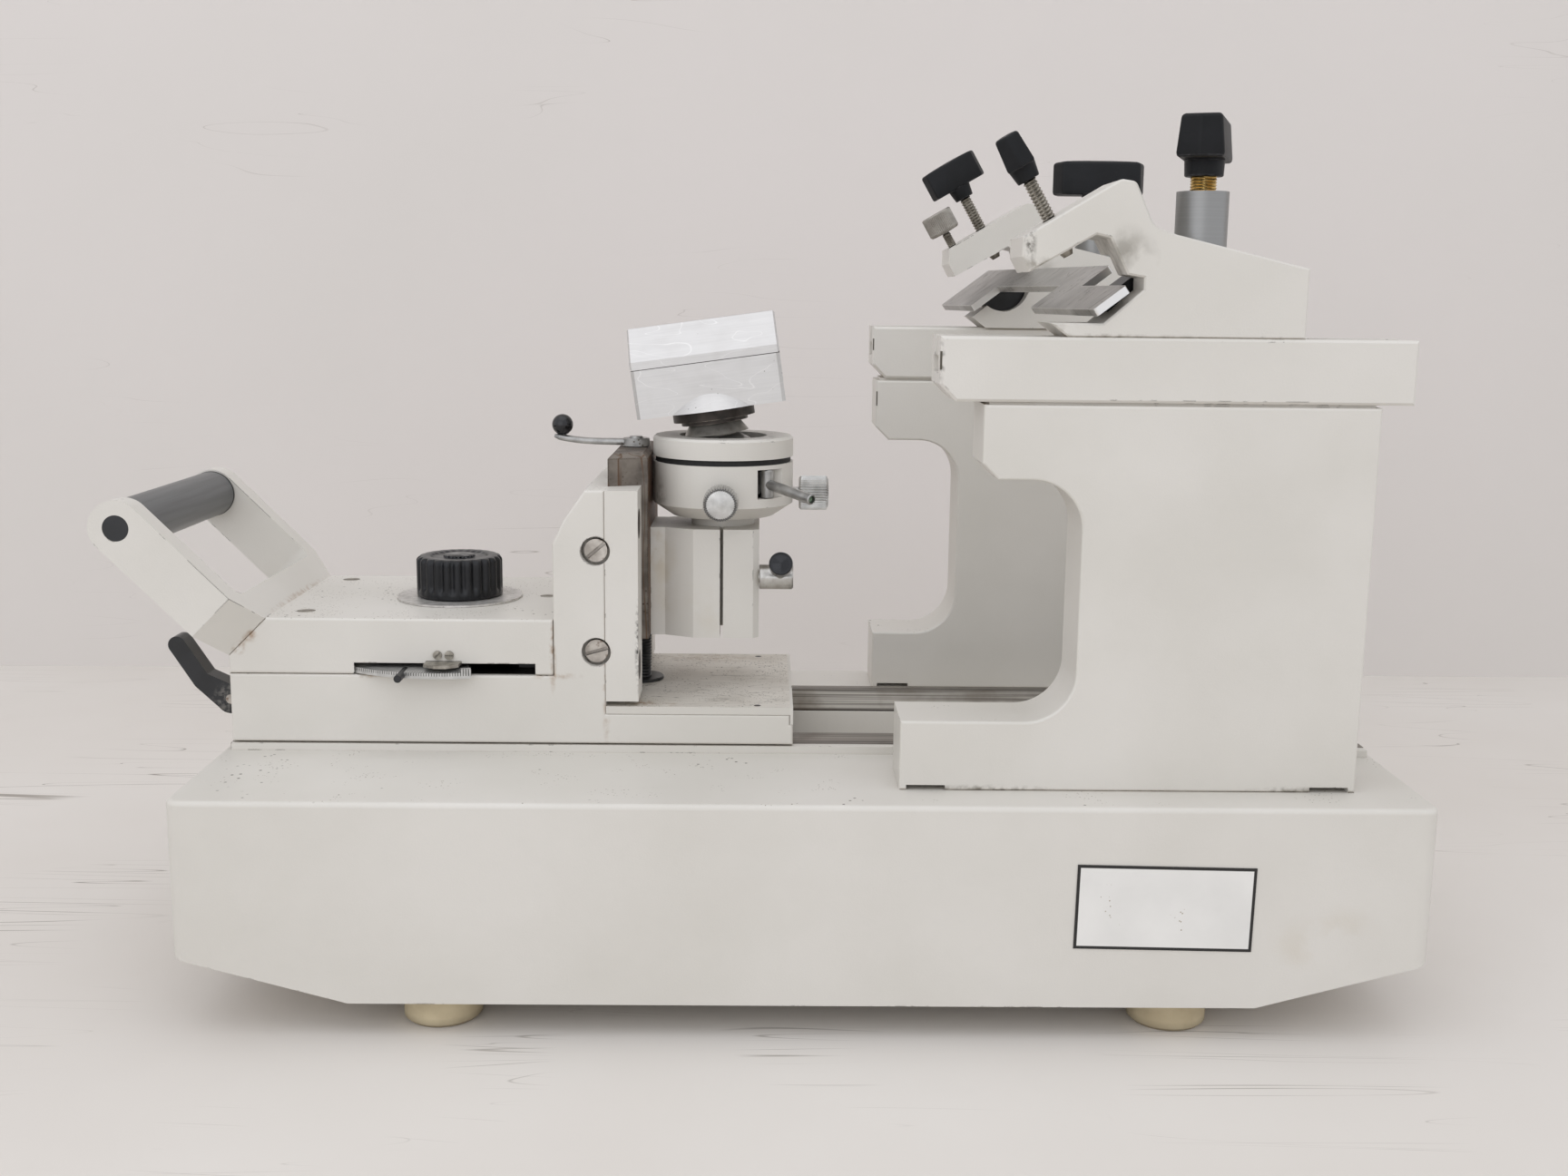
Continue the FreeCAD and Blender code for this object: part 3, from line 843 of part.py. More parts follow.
# Slide lock: a flat lever with a ball end that turns on the slide's top.
LOCK_TIP = "0 - lock_arm_long - lock_arm_wide / 2"
lock_arm = profile("lock_arm", "XZ", [
    ("0", "lock_arm_rise"), ("0 - lock_arm_bend", "lock_arm_rise"),
    (LOCK_TIP, "lock_arm_rise + lock_arm_lift"),
    (LOCK_TIP, "lock_arm_rise + lock_arm_lift + lock_arm_thick"),
    ("0 - lock_arm_bend", "lock_arm_rise + lock_arm_thick"), ("0", "lock_arm_rise + lock_arm_thick")],
    "0 - lock_arm_wide / 2", "lock_arm_wide")
lock_plan = profile("lock_plan", "XY", [
    (LOCK_TIP, "0 - lock_arm_wide / 2"), ("0", "0 - lock_arm_wide / 2"), ("0", "lock_arm_wide / 2"),
    (LOCK_TIP, "lock_arm_wide / 2")], "lock_arm_rise", "lock_arm_lift + lock_arm_thick")
soften(lock_plan, corner_edges(lock_plan, [0, 3]), "lock_arm_wide / 3")
lock_hub = rod("lock_hub", "Z", "0", "0", "0", "lock_hub_radius", "lock_hub_tall")
lock_neck = rod("lock_neck", "Z", "0 - lock_arm_long", "0", "lock_arm_rise", "lock_neck_radius",
                "lock_ball_rise - lock_arm_rise - lock_ball_radius / 2")
lock_place = dict(x="lock_x", y="knob_y", z="slide_top + slide_gap")
node("slide_lock_lever", join("lock_lever", overlap("lock_blade", lock_arm, lock_plan),
                              lock_hub, lock_neck), **lock_place)
node("slide_lock_ball", cut("lock_ball_cut",
                            ball("lock_ball", "0 - lock_arm_long", "0", "lock_ball_rise",
                                 "lock_ball_radius"), lock_neck), **lock_place)

# Swivel head: a drum on a stem that turns in the clamp block, with a gasket and a cover over the
# gimbal. It is drawn about its own axis.
drum = turned("drum", [
    ("0", "stem_foot"), ("stem_radius", "stem_foot"), ("stem_radius", "drum_foot"),
    ("drum_radius - drum_bevel_in", "drum_foot"), ("drum_radius", "drum_foot + drum_bevel_rise"),
    ("drum_radius", "drum_top"), ("drum_bore", "drum_top"), ("drum_bore", "drum_floor"),
    ("0", "drum_floor")])
notch = block("drum_notch", "notch_left - head_x", "0 - drum_radius - overrun", "notch_foot",
              "notch_right - notch_left", "notch_back - knob_y + drum_radius + overrun", "notch_tall")
ROD_X = "lock_rod_x - head_x"
ROD_Y = "lock_rod_y - knob_y"
hub_pin = rod("lock_rod_pin_rod", "Z", ROD_X, ROD_Y, "notch_foot - lock_rod_pin_long",
              "lock_rod_pin", "notch_tall + 2 * lock_rod_pin_long")
hub_pin_bore = rod("lock_rod_pin_bore", "Z", ROD_X, ROD_Y,
                   "notch_foot - lock_rod_pin_long - slide_gap", "lock_rod_pin + running_gap",
                   "notch_tall + 2 * (lock_rod_pin_long + slide_gap)")
thumb_bores = [rod("front_thumb_bore", "Y", "0", "0 - drum_radius - overrun", "thumb_rise",
                   "thumb_shank_radius + running_gap", "drum_radius"),
               rod("side_thumb_bore", "X", "0", "0", "thumb_rise",
                   "thumb_shank_radius + running_gap", "drum_radius + overrun")]
pin_bores = [rod("gimbal_bore_front", "Y", "0", "0 - gimbal_bore_end", "pivot_rise",
                 "gimbal_pin_radius + running_gap", "2 * gimbal_bore_end")]
HEAD = dict(x="head_x", y="knob_y")
node("head_drum", cut("drum_cut", drum, notch, hub_pin_bore, *thumb_bores, *pin_bores), **HEAD)
node("head_gasket", cut("gasket",
                        rod("gasket_disc", "Z", "0", "0", "drum_top", "gasket_radius",
                            "gasket_thick"),
                        rod("gasket_room", "Z", "0", "0", "drum_top - overrun", "gasket_bore",
                            "gasket_thick + 2 * overrun")), **HEAD)
COVER_FOOT = "drum_top + gasket_thick"
lid = turned("cover", [
    ("cover_throat", COVER_FOOT), ("drum_radius", COVER_FOOT),
    ("drum_radius", f"{COVER_FOOT} + cover_tall - cover_edge"),
    ("drum_radius - cover_edge", f"{COVER_FOOT} + cover_tall"),
    ("cover_mouth", f"{COVER_FOOT} + cover_tall")])
lid_hole = rod("cover_hole", "Z", "cover_hole_x", "cover_hole_y",
               f"{COVER_FOOT} + cover_tall - cover_hole_deep", "cover_hole_radius", "cover_tall")
node("head_cover", cut("cover_cut_hole", lid, lid_hole), **HEAD)
arm = rod("lock_rod_arm", "X", "0", "0", "0", "lock_rod_radius", "lock_rod_long")
seat(arm, ROD_X, ROD_Y, "notch_foot + notch_tall / 2", yaw="lock_rod_angle",
     pitch="90 + lock_rod_dip_angle")
node("head_lock_lever", join("lock_rod", hub_pin, arm,
                             rod("lock_rod_hub_disc", "Z", ROD_X, ROD_Y, "notch_foot + slide_gap",
                                 "lock_rod_hub", "notch_tall - 2 * slide_gap")), **HEAD)


def thumb_screw(name):
    """A knurled screw drawn along Z: its shank starts in the drum's wall, its head stands outside."""
    return join(name,
                rod(name + "_shank", "Z", "0", "0", "drum_radius - thumb_shank_long",
                    "thumb_shank_radius", "thumb_shank_long + overrun"),
                rod(name + "_stem", "Z", "0", "0", "drum_radius + thumb_seat_gap",
                    "thumb_stem_radius", "thumb_stem_long"),
                taper(name + "_rim", "Z", "0", "0", "drum_radius + thumb_stem_long",
                      "thumb_radius - thumb_edge", "thumb_radius", "thumb_edge"),
                rod(name + "_knurl", "Z", "0", "0", "drum_radius + thumb_stem_long + thumb_edge",
                    "thumb_radius", "thumb_long - 2 * thumb_edge"),
                taper(name + "_cap", "Z", "0", "0",
                      "drum_radius + thumb_stem_long + thumb_long - thumb_edge", "thumb_radius",
                      "thumb_radius - thumb_edge", "thumb_edge"))


node("front_tilt_screw", thumb_screw("front_thumb"), "head_x", "knob_y", "thumb_rise", roll="90")
node("side_tilt_screw", thumb_screw("side_thumb"), "head_x", "knob_y", "thumb_rise", pitch="90")

# Gimbal and ball: the ring tips about Y in the drum and the ball about X in the ring. They are drawn
# upright about the pivot and leaned to the left together.
gimbal_bore = rod("gimbal_bore_room", "Z", "0", "0", "0 - gimbal_tall", "gimbal_bore", "2 * gimbal_tall")
ring_wall = cut("gimbal_wall", rod("gimbal_disc", "Z", "0", "0", "0 - gimbal_tall / 2",
                                   "gimbal_radius", "gimbal_tall"), gimbal_bore)
RING_MIDDLE = "(gimbal_bore + gimbal_radius) / 2"
pins = [rod("gimbal_pin_front", "Y", "0", "0 - gimbal_pin_out", "0", "gimbal_pin_radius",
            f"gimbal_pin_out - {RING_MIDDLE}"),
        rod("gimbal_pin_rear", "Y", "0", RING_MIDDLE, "0", "gimbal_pin_radius",
            f"gimbal_pin_out - {RING_MIDDLE}"),
        rod("gimbal_pin_left", "X", f"0 - {RING_MIDDLE}", "0", "0", "gimbal_pin_radius",
            f"{RING_MIDDLE} - ball_radius + gimbal_pin_in"),
        rod("gimbal_pin_right", "X", "ball_radius - gimbal_pin_in", "0", "0", "gimbal_pin_radius",
            f"{RING_MIDDLE} - ball_radius + gimbal_pin_in")]
PIVOT = dict(x="head_x", y="knob_y", z="pivot_rise", pitch="0 - rest_tilt_angle")
node("gimbal_ring", join("gimbal", ring_wall, *pins), **PIVOT)
globe = overlap("ball_cap", seat(ball("ball_round", "0", "0", "0", "ball_radius"), yaw="45"),
                block("ball_zone", "0 - ball_radius", "0 - ball_radius", "0 - ball_flat",
                      "2 * ball_radius", "2 * ball_radius", "ball_flat + neck_from"))
neck = rod("ball_neck", "Z", "0", "0", "neck_from", "neck_radius", "skirt_from - neck_from")
node("swivel_ball", cut("ball_cut", globe,
                        rod("ball_pin_bore", "X", "0 - ball_radius", "0", "0",
                            "gimbal_pin_radius + running_gap", "2 * ball_radius")), **PIVOT)
STEP_FOOT = "skirt_from + skirt_tall"
FLANGE_FOOT = "skirt_from + skirt_tall + flange_step_tall"
VISE_FOOT = "skirt_from + skirt_tall + flange_step_tall + flange_tall"
node("vise_flange", join("flange_tiers", neck,
                         taper("skirt", "Z", "0", "0", "skirt_from", "skirt_radius", "skirt_top",
                               "skirt_tall"),
                         rod("flange_step", "Z", "0", "0", STEP_FOOT, "flange_step_radius",
                             "flange_step_tall"),
                         rod("flange_rim", "Z", "0", "0", FLANGE_FOOT, "flange_radius",
                             "flange_tall")), **PIVOT)

# Specimen vise: a block with a turned conical boss below, a fixed rear jaw and a front jaw that slides
# on a tongue, drawn by a long screw from the rear. The jaws' backs slope to a narrow top.
BASE_TOP = f"{VISE_FOOT} + vise_base_tall"
vise_low = profile("vise_low", "XY", [
    ("0 - vise_half_long", "0 - vise_half_deep"), ("vise_half_long", "0 - vise_half_deep"),
    ("vise_half_long", "vise_half_deep"), ("0 - vise_half_long", "vise_half_deep")],
    VISE_FOOT, "vise_base_tall")
soften(vise_low, upright_edges(vise_low), "vise_edge", "Chamfer")
boss = taper("vise_boss", "Z", "0", "0", VISE_FOOT, "vise_boss_radius", "vise_boss_top", "vise_boss_tall")
SLOT_FRONT = "(0 - vise_half_deep + vise_front_wall)"
tongue_slot = block("tongue_slot", "0 - tongue_half_wide - tongue_gap", SLOT_FRONT,
                    f"{BASE_TOP} - tongue_deep", "2 * (tongue_half_wide + tongue_gap)",
                    f"tongue_back + tongue_gap - {SLOT_FRONT}", "tongue_deep + overrun")
SCREW_Z = f"{BASE_TOP} - vise_screw_drop"
screw_bore = rod("vise_screw_bore", "Y", "0", SLOT_FRONT, SCREW_Z, "vise_screw_radius + running_gap",
                 f"vise_half_deep + overrun - {SLOT_FRONT}")
node("vise_body", cut("vise_cut", join("vise_block", vise_low, boss), tongue_slot, screw_bore), **PIVOT)
JAW_FOOT = f"{BASE_TOP} + jaw_seat_gap"
JAW_TOP = f"{BASE_TOP} + jaw_tall"
front_jaw = profile("front_jaw_block", "YZ", [
    ("0 - vise_half_deep", JAW_FOOT), ("0 - jaw_gap / 2", JAW_FOOT), ("0 - jaw_gap / 2", JAW_TOP),
    ("jaw_slope - vise_half_deep", JAW_TOP), ("0 - vise_half_deep", f"{BASE_TOP} + jaw_band")],
    "0 - vise_half_long", "2 * vise_half_long")
rear_jaw = profile("rear_jaw_block", "YZ", [
    ("vise_half_deep", BASE_TOP), ("vise_half_deep", f"{BASE_TOP} + jaw_band"),
    ("vise_half_deep - jaw_slope", JAW_TOP), ("jaw_gap / 2", JAW_TOP), ("jaw_gap / 2", BASE_TOP)],
    "0 - vise_half_long", "2 * vise_half_long")
for jaw in (front_jaw, rear_jaw):
    soften(jaw, rim_edges(jaw, "X", 1), "vise_edge / 2", "Chamfer")
    soften(jaw, rim_edges(jaw, "X", -1), "vise_edge / 2", "Chamfer")
TONGUE_FRONT = f"({SLOT_FRONT} + jaw_travel + tongue_gap)"
tongue = block("jaw_tongue", "0 - tongue_half_wide", TONGUE_FRONT,
               f"{BASE_TOP} - tongue_deep + tongue_gap", "2 * tongue_half_wide",
               f"0 - {TONGUE_FRONT} + tongue_back", "tongue_deep - 2 * tongue_gap")
jaw_neck = block("jaw_neck", "0 - tongue_half_wide", TONGUE_FRONT,
                 f"{BASE_TOP} - tongue_deep + tongue_gap", "2 * tongue_half_wide",
                 f"0 - {TONGUE_FRONT} - jaw_gap / 2", "tongue_deep")
node("front_jaw", cut("front_jaw_cut", join("front_jaw_parts", front_jaw, tongue, jaw_neck),
                      screw_bore), **PIVOT)
node("rear_jaw", rear_jaw, **PIVOT)
hex_room = doc.addObject("Part::Prism", "vise_hex")
hex_room.Polygon = 6
bind(hex_room, Circumradius="vise_hex_radius", Height="vise_hex_deep + overrun")
seat(hex_room, "0", f"vise_half_deep + vise_head_gap + vise_head_long - vise_hex_deep", SCREW_Z,
     roll="-90")
node("jaw_screw", cut("jaw_screw_cut", join("jaw_screw_parts",
                                            rod("jaw_screw_rod", "Y", "0",
                                                "overrun - vise_half_deep + jaw_travel", SCREW_Z,
                                                "vise_screw_radius",
                                                "2 * vise_half_deep - jaw_travel"),
                                            rod("jaw_screw_head", "Y", "0",
                                                "vise_half_deep + vise_head_gap", SCREW_Z,
                                                "vise_head_radius", "vise_head_long")), hex_room),
     **PIVOT)

# Knife carriage: a block on each top rail, held down by a nut in the rail's slot. Each block has an
# arm over an open throat, where the knife tray rests on a round rocker.
def up(rise):
    return f"{RAIL_TOP} + {rise}"


def block_profile(name, shift, front, floor):
    """A knife block's side outline, moved left by a shift; floor lists the throat's lower corners."""
    points = [("block_toe_x", RAIL_TOP), ("block_heel", RAIL_TOP), ("block_heel", up("block_heel_rise")),
              ("block_back_x", up("block_back_rise")), ("block_waist_x", up("block_waist_rise")),
              ("block_peak_x", up("block_peak_rise")), ("block_crown_x", up("block_crown_rise")),
              ("arm_tip_x", up("arm_tip_rise")), ("arm_tip_x", up("arm_tip_low_rise")),
              ("arm_lip_x", up("arm_lip_rise")), ("throat_top_x", up("throat_top_rise")),
              ("throat_bend_x", up("throat_bend_rise")), *floor, ("shelf_x", up("floor_rise"))]
    body = profile(name, "XZ", [(f"{x} - {shift}", z) for x, z in points], front, "knife_block_deep")
    soften(body, corner_edges(body, [5, 6]), "crown_round")
    soften(body, corner_edges(body, [4]), "waist_round")
    return body


near_block = block_profile("near_block", "0", "knife_block_front", [
    ("throat_wall_x", up("throat_wall_rise")), ("undercut_x", up("undercut_rise")),
    ("undercut_x", up("undercut_low_rise")),
    ("near_floor_x", up("floor_rise"))])
soften(near_block, rim_edges(near_block, "Y", -1), "block_edge", "Chamfer")
far_block = block_profile("far_block", "far_block_left", "far_block_front", [
    ("far_ledge_x", up("far_ledge_rise")), ("far_floor_x", up("floor_rise"))])
ROCKER = dict(x="rocker_x", y="rocker_y", z=f"{RAIL_TOP} + rocker_rise", yaw="decline_angle",
              pitch="0 - tray_pitch_angle")


def rocker_room(name, start, long):
    """The seat for a rocker, laid along the tray's turning line."""
    room = group(name, rod(name + "_bore", "Y", "0", start, "0", "rocker_radius + rocker_gap", long))
    return seat(room, **ROCKER)


near_room = rocker_room("near_rocker_room", "0 - near_rocker_from - rocker_end_gap", "knife_block_deep")
far_room = rocker_room("far_rocker_room", "0 - base_round", "knife_block_deep + 2 * base_round")


def leaned(x, rise, y):
    """The place of a screw that leans left through a block's arm, its Z along the screw."""
    return dict(x=x, y=y, z=up(rise), pitch="0 - screw_pitch_angle")


NEAR_Y = "knife_block_front + knife_block_deep / 2"
FAR_Y = "far_block_front + knife_block_deep / 2"
NEAR_SCREW = leaned("near_screw_x", "near_screw_rise", NEAR_Y)
FAR_SCREW = leaned("far_screw_x", "far_screw_rise", FAR_Y)
THUMB = leaned("thumb_screw_x", "thumb_screw_rise", FAR_Y + " - thumb_screw_fore")


def screw_room(name, place, radius, long):
    room = group(name, rod(name + "_bore", "Z", "0", "0", "0 - " + long,
                           radius + " + knife_screw_gap", "2 * " + long))
    return seat(room, **place)


cuts = {
    "near": [near_room, screw_room("near_screw_room", NEAR_SCREW, "knife_screw_radius",
                                   "near_screw_up")],
    "far": [far_room, screw_room("far_screw_room", FAR_SCREW, "knife_screw_radius", "far_screw_up"),
            screw_room("thumb_room", THUMB, "thumb_bolt_radius", "thumb_screw_down")],
}


def wing_knob(name, foot, half_long, half_thick, tall, crown, prow, draft, edge):
    """A moulded wing over a hub: flat below, arched on top, with prow-shaped ends."""
    side = profile(name + "_side", "XZ", [
        (f"0 - {half_long}", foot), (half_long, foot), (half_long, f"{foot} + {tall} - {crown}"),
        ("0", f"{foot} + {tall}"), (f"0 - {half_long}", f"{foot} + {tall} - {crown}")],
        f"0 - {half_thick}", f"2 * {half_thick}")
    soften(side, corner_edges(side, [2, 4]), edge)
    end = profile(name + "_end", "YZ", [
        (f"0 - {half_thick}", foot), (half_thick, foot), (f"{half_thick} - {draft}", f"{foot} + {tall}"),
        (f"{draft} - {half_thick}", f"{foot} + {tall}")], f"0 - {half_long}", f"2 * {half_long}")
    plan = profile(name + "_plan", "XY", [
        (f"{prow} - {half_long}", f"0 - {half_thick}"), (f"{half_long} - {prow}", f"0 - {half_thick}"),
        (half_long, "0"), (f"{half_long} - {prow}", half_thick), (f"{prow} - {half_long}", half_thick),
        (f"0 - {half_long}", "0")], foot, tall)
    return overlap(name, overlap(name + "_sides", side, end), plan)


sleeves, spindles, clamp_knobs = [], [], {}
for side, x, top, turn in (("near", "near_clamp_x", "near_knob_rise", "wing_turn_angle"),
                           ("far", "far_clamp_x", "far_knob_rise", "0")):
    y = f"{side}_tower_front + top_rail_deep / 2"
    bore = rod(f"{side}_sleeve_bore", "Z", x, y, up("sleeve_low_rise"), "sleeve_radius + running_gap",
               "sleeve_top")
    hole = rod(f"{side}_brass_hole", "Z", x, y, "tower_tall", "brass_radius + brass_gap",
               "pad_rise + top_rail_tall + sleeve_top")
    cuts[side] += [bore, hole]
    sleeves.append(cut(f"{side}_sleeve",
                       rod(f"{side}_sleeve_round", "Z", x, y, up("sleeve_low_rise"), "sleeve_radius",
                           "sleeve_top - sleeve_low_rise"), hole))
    nut = block(f"{side}_nut", f"{x} - nut_long / 2", f"{y} - nut_wide / 2",
                f"{RAIL_TOP} - slot_neck_deep - nut_gap - nut_tall", "nut_long", "nut_wide", "nut_tall")
    spindles.append(join(f"{side}_clamp_spindle", nut,
                         rod(f"{side}_brass", "Z", x, y,
                             f"{RAIL_TOP} - slot_neck_deep - nut_gap - nut_tall", "brass_radius",
                             f"slot_neck_deep + nut_gap + nut_tall + {top}")))
    hub = rod(f"{side}_knob_hub", "Z", "0", "0", "0", "hub_radius", "hub_tall")
    wing = wing_knob(f"{side}_wing", "hub_tall", "wing_half_long", "wing_half_thick",
                     "wing_tall", "wing_crown", "wing_prow", "wing_draft", "wing_edge")
    clamp_knobs[side] = node(f"{side}_clamp_knob", join(f"{side}_knob_parts", hub, wing), x, y, up(top),
                             yaw=turn)
node("near_knife_block", cut("near_block_cut", near_block, *cuts["near"]))
node("far_knife_block", cut("far_block_cut", far_block, *cuts["far"]))
node("clamp_sleeves", group("sleeve_pair", *sleeves))
node("clamp_spindles", group("spindle_pair", *spindles))
for side, place, turn in (("near", NEAR_SCREW, "small_wing_turn_angle"), ("far", FAR_SCREW, "0")):
    high, low = f"{side}_screw_up", f"{side}_screw_down"
    shank = rod(f"{side}_screw_shank", "Z", "0", "0", f"screw_tip_long - {low}", "knife_screw_radius",
                f"{high} + {low} - screw_tip_long")
    tip = taper(f"{side}_screw_tip", "Z", "0", "0", f"0 - {low}", "screw_tip_radius",
                "knife_screw_radius", "screw_tip_long")
    hub = rod(f"{side}_screw_hub", "Z", "0", "0", high, "small_hub_radius", "small_hub_tall")
    wing = wing_knob(f"{side}_screw_wing", f"({high} + small_hub_tall)",
                     "small_wing_half_long", "small_wing_half_thick", "small_wing_tall",
                     "small_wing_crown", "small_wing_prow", "small_wing_draft", "small_wing_edge")
    turned_wing = group(f"{side}_turned_wing", wing)
    seat(turned_wing, yaw=turn)
    node(f"{side}_knife_screw", join(f"{side}_screw_parts", shank, tip, hub, turned_wing), **place)
node("thumb_screw", join("thumb_screw_parts",
                         rod("thumb_bolt", "Z", "0", "0", "0 - thumb_screw_down", "thumb_bolt_radius",
                             "thumb_screw_down + thumb_screw_up"),
                         rod("thumb_bolt_head", "Z", "0", "0", "thumb_screw_up", "thumb_screw_head",
                             "thumb_screw_head_tall")), **THUMB)

# Knife tray: one bent steel plate, drawn flat about the rockers' line, with a tab at each end that the
# knife lies on and a back bar that joins them over the vise.
tray = profile("tray_plate", "XY", [
    ("0 - tab_out", "0 - near_tab_end"), ("0 - tab_in", "0 - near_tab_end"),
    ("0 - tab_in", "0 - bar_near_end"), ("bar_out", "0 - bar_near_end"), ("bar_out", "far_tab_end"),
    ("0 - tab_out", "far_tab_end"), ("0 - tab_out", "0 - far_tab_start"),
    ("0 - tab_in", "0 - far_tab_start"), ("0 - tab_in", "0 - near_tab_start"),
    ("0 - tab_out", "0 - near_tab_start")], "0", "tray_thick")
soften(tray, corner_edges(tray, [0, 1, 3, 4, 5, 6, 9]), "tray_corner")
node("knife_tray", tray, **ROCKER)
halves = []
for i, (start, long) in enumerate((("0 - near_rocker_from", "near_rocker_long"),
                                   ("far_rocker_from", "far_rocker_long"))):
    halves.append(overlap(f"rocker_{i}",
                          rod(f"rocker_round_{i}", "Y", "0", start, "0", "rocker_radius", long),
                          block(f"rocker_zone_{i}", "0 - rocker_radius", start, "0 - rocker_radius",
                                "2 * rocker_radius", long, "rocker_radius")))
node("tray_rockers", group("rockers", *halves), **ROCKER)

doc.recompute()
faults = [thing.Name for thing in doc.Objects if {"Invalid", "Error"} & set(thing.State)]
faults += [thing.Label for thing in NODES if thing.Shape.isNull() or not thing.Shape.isValid()]
if faults:
    raise SystemExit("These pieces failed: " + ", ".join(faults))
os.makedirs("parts", exist_ok=True)
for thing in NODES:
    thing.Shape.exportStep(f"parts/{thing.Label}.step")
print(len(NODES), "pieces written")
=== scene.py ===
import math
import bmesh
import bpy
import numpy as np
from mathutils import Matrix, Vector


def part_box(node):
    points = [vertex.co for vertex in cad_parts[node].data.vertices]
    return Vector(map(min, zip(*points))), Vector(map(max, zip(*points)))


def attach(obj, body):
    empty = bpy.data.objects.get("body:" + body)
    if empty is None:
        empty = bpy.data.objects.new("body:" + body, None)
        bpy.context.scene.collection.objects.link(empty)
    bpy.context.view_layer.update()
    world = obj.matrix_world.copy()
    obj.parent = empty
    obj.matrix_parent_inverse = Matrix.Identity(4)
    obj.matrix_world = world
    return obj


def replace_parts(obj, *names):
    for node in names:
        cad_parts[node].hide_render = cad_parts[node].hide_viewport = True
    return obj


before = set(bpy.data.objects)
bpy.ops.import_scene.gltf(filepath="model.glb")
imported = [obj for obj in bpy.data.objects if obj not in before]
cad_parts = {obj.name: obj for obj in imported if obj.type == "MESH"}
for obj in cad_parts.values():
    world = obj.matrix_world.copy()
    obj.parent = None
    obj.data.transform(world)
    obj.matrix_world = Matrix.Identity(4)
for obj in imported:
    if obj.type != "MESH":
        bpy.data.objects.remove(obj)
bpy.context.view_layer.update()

# Camera and studio. The camera stands where the photograph was taken from, about a metre in front of
# the bench and turned down by ten degrees. The bench is a white laminate top, scratched by use, that
# meets a pale painted wall behind the machine, and the light is even and soft. The wall shows only from
# the machine's side, so that the machine can be looked at from behind.
lens, sensor = 37.597, 36.0
yaw, pitch, roll = math.radians(0.7385), math.radians(10.169), math.radians(0.6123)
level = Vector((math.sin(yaw), math.cos(yaw), 0))
right = Vector((math.cos(yaw), -math.sin(yaw), 0))
ahead = math.cos(pitch) * level - math.sin(pitch) * Vector((0, 0, 1))
above = math.sin(pitch) * level + math.cos(pitch) * Vector((0, 0, 1))
side = math.cos(roll) * right + math.sin(roll) * above
top = math.cos(roll) * above - math.sin(roll) * right
camera = bpy.data.objects.new("camera", bpy.data.cameras.new("camera"))
bpy.context.collection.objects.link(camera)
camera.data.lens, camera.data.sensor_width = lens, sensor
camera.matrix_world = Matrix.Translation((0.0080, -1.0229, 0.4097)) @ Matrix(
    (side, top, -ahead)).transposed().to_4x4()
bpy.context.scene.camera = camera
bpy.context.scene.view_settings.view_transform = "Standard"


def linear(colour):
    """An sRGB hex colour as linear red, green, blue and alpha."""
    parts = np.array([int(colour[i:i + 2], 16) for i in (1, 3, 5)]) / 255
    parts = np.where(parts <= 0.04045, parts / 12.92, ((parts + 0.055) / 1.055) ** 2.4)
    return (*parts, 1.0)


def add(tree, kind, links=None, **settings):
    """Add one node to a material, give it its settings, and fill its sockets with values or links."""
    made = tree.nodes.new(kind)
    for name, value in settings.items():
        setattr(made, name, value)
    for name, value in (links or {}).items():
        socket = made.inputs[name]
        if isinstance(value, bpy.types.NodeSocket):
            tree.links.new(value, socket)
        elif isinstance(value, str):
            socket.default_value = linear(value)
        else:
            socket.default_value = value
    return made


def start_material(name, roughness, metallic=0.0):
    """A new material with its tree, its Principled shader and its object coordinates."""
    made = bpy.data.materials.new(name)
    made.use_nodes = True
    tree = made.node_tree
    shader = tree.nodes["Principled BSDF"]
    shader.inputs["Roughness"].default_value = roughness
    shader.inputs["Metallic"].default_value = metallic
    return made, tree, shader, tree.nodes.new("ShaderNodeTexCoord").outputs["Object"]


def two_tones(tree, place, low, high, scale, detail=4.0, start=0.35, end=0.65, stretch=(1, 1, 1)):
    """A colour that wanders between two tones with a noise, stretched along an axis where a tool ran."""
    run = add(tree, "ShaderNodeMapping", {"Vector": place, "Scale": stretch}).outputs[0]
    noise = add(tree, "ShaderNodeTexNoise", {"Vector": run, "Scale": scale, "Detail": detail})
    share = add(tree, "ShaderNodeMapRange", {"Value": noise.outputs["Fac"], "From Min": start, "From Max": end})
    mix = add(tree, "ShaderNodeMix", {"Factor": share.outputs[0], "A": low, "B": high}, data_type="RGBA")
    return mix.outputs["Result"]


def scratches(tree, place, scale, stretch, turn, width):
    """Where hairline scratches run, 0 to 1: the thin band about the middle of a long stretched noise."""
    run = add(tree, "ShaderNodeMapping", {"Vector": place, "Scale": stretch,
                                          "Rotation": (0, 0, turn)}).outputs[0]
    noise = add(tree, "ShaderNodeTexNoise", {"Vector": run, "Scale": scale, "Detail": 1.0, "Distortion": 0.6})
    off = add(tree, "ShaderNodeMath", {0: noise.outputs["Fac"], 1: 0.5}, operation="SUBTRACT")
    far = add(tree, "ShaderNodeMath", {0: off.outputs[0]}, operation="ABSOLUTE")
    return add(tree, "ShaderNodeMapRange", {"Value": far.outputs[0], "From Min": width,
                                            "From Max": 0.0}).outputs[0]


def tinted(tree, colour, share, tone):
    """A colour with a tone laid over it by a share from 0 to 1."""
    mix = add(tree, "ShaderNodeMix", {"Factor": share, "A": colour, "B": tone}, data_type="RGBA")
    return mix.outputs["Result"]


def times(tree, first, second):
    """The product of two shares."""
    return add(tree, "ShaderNodeMath", {0: first, 1: second}, operation="MULTIPLY").outputs[0]


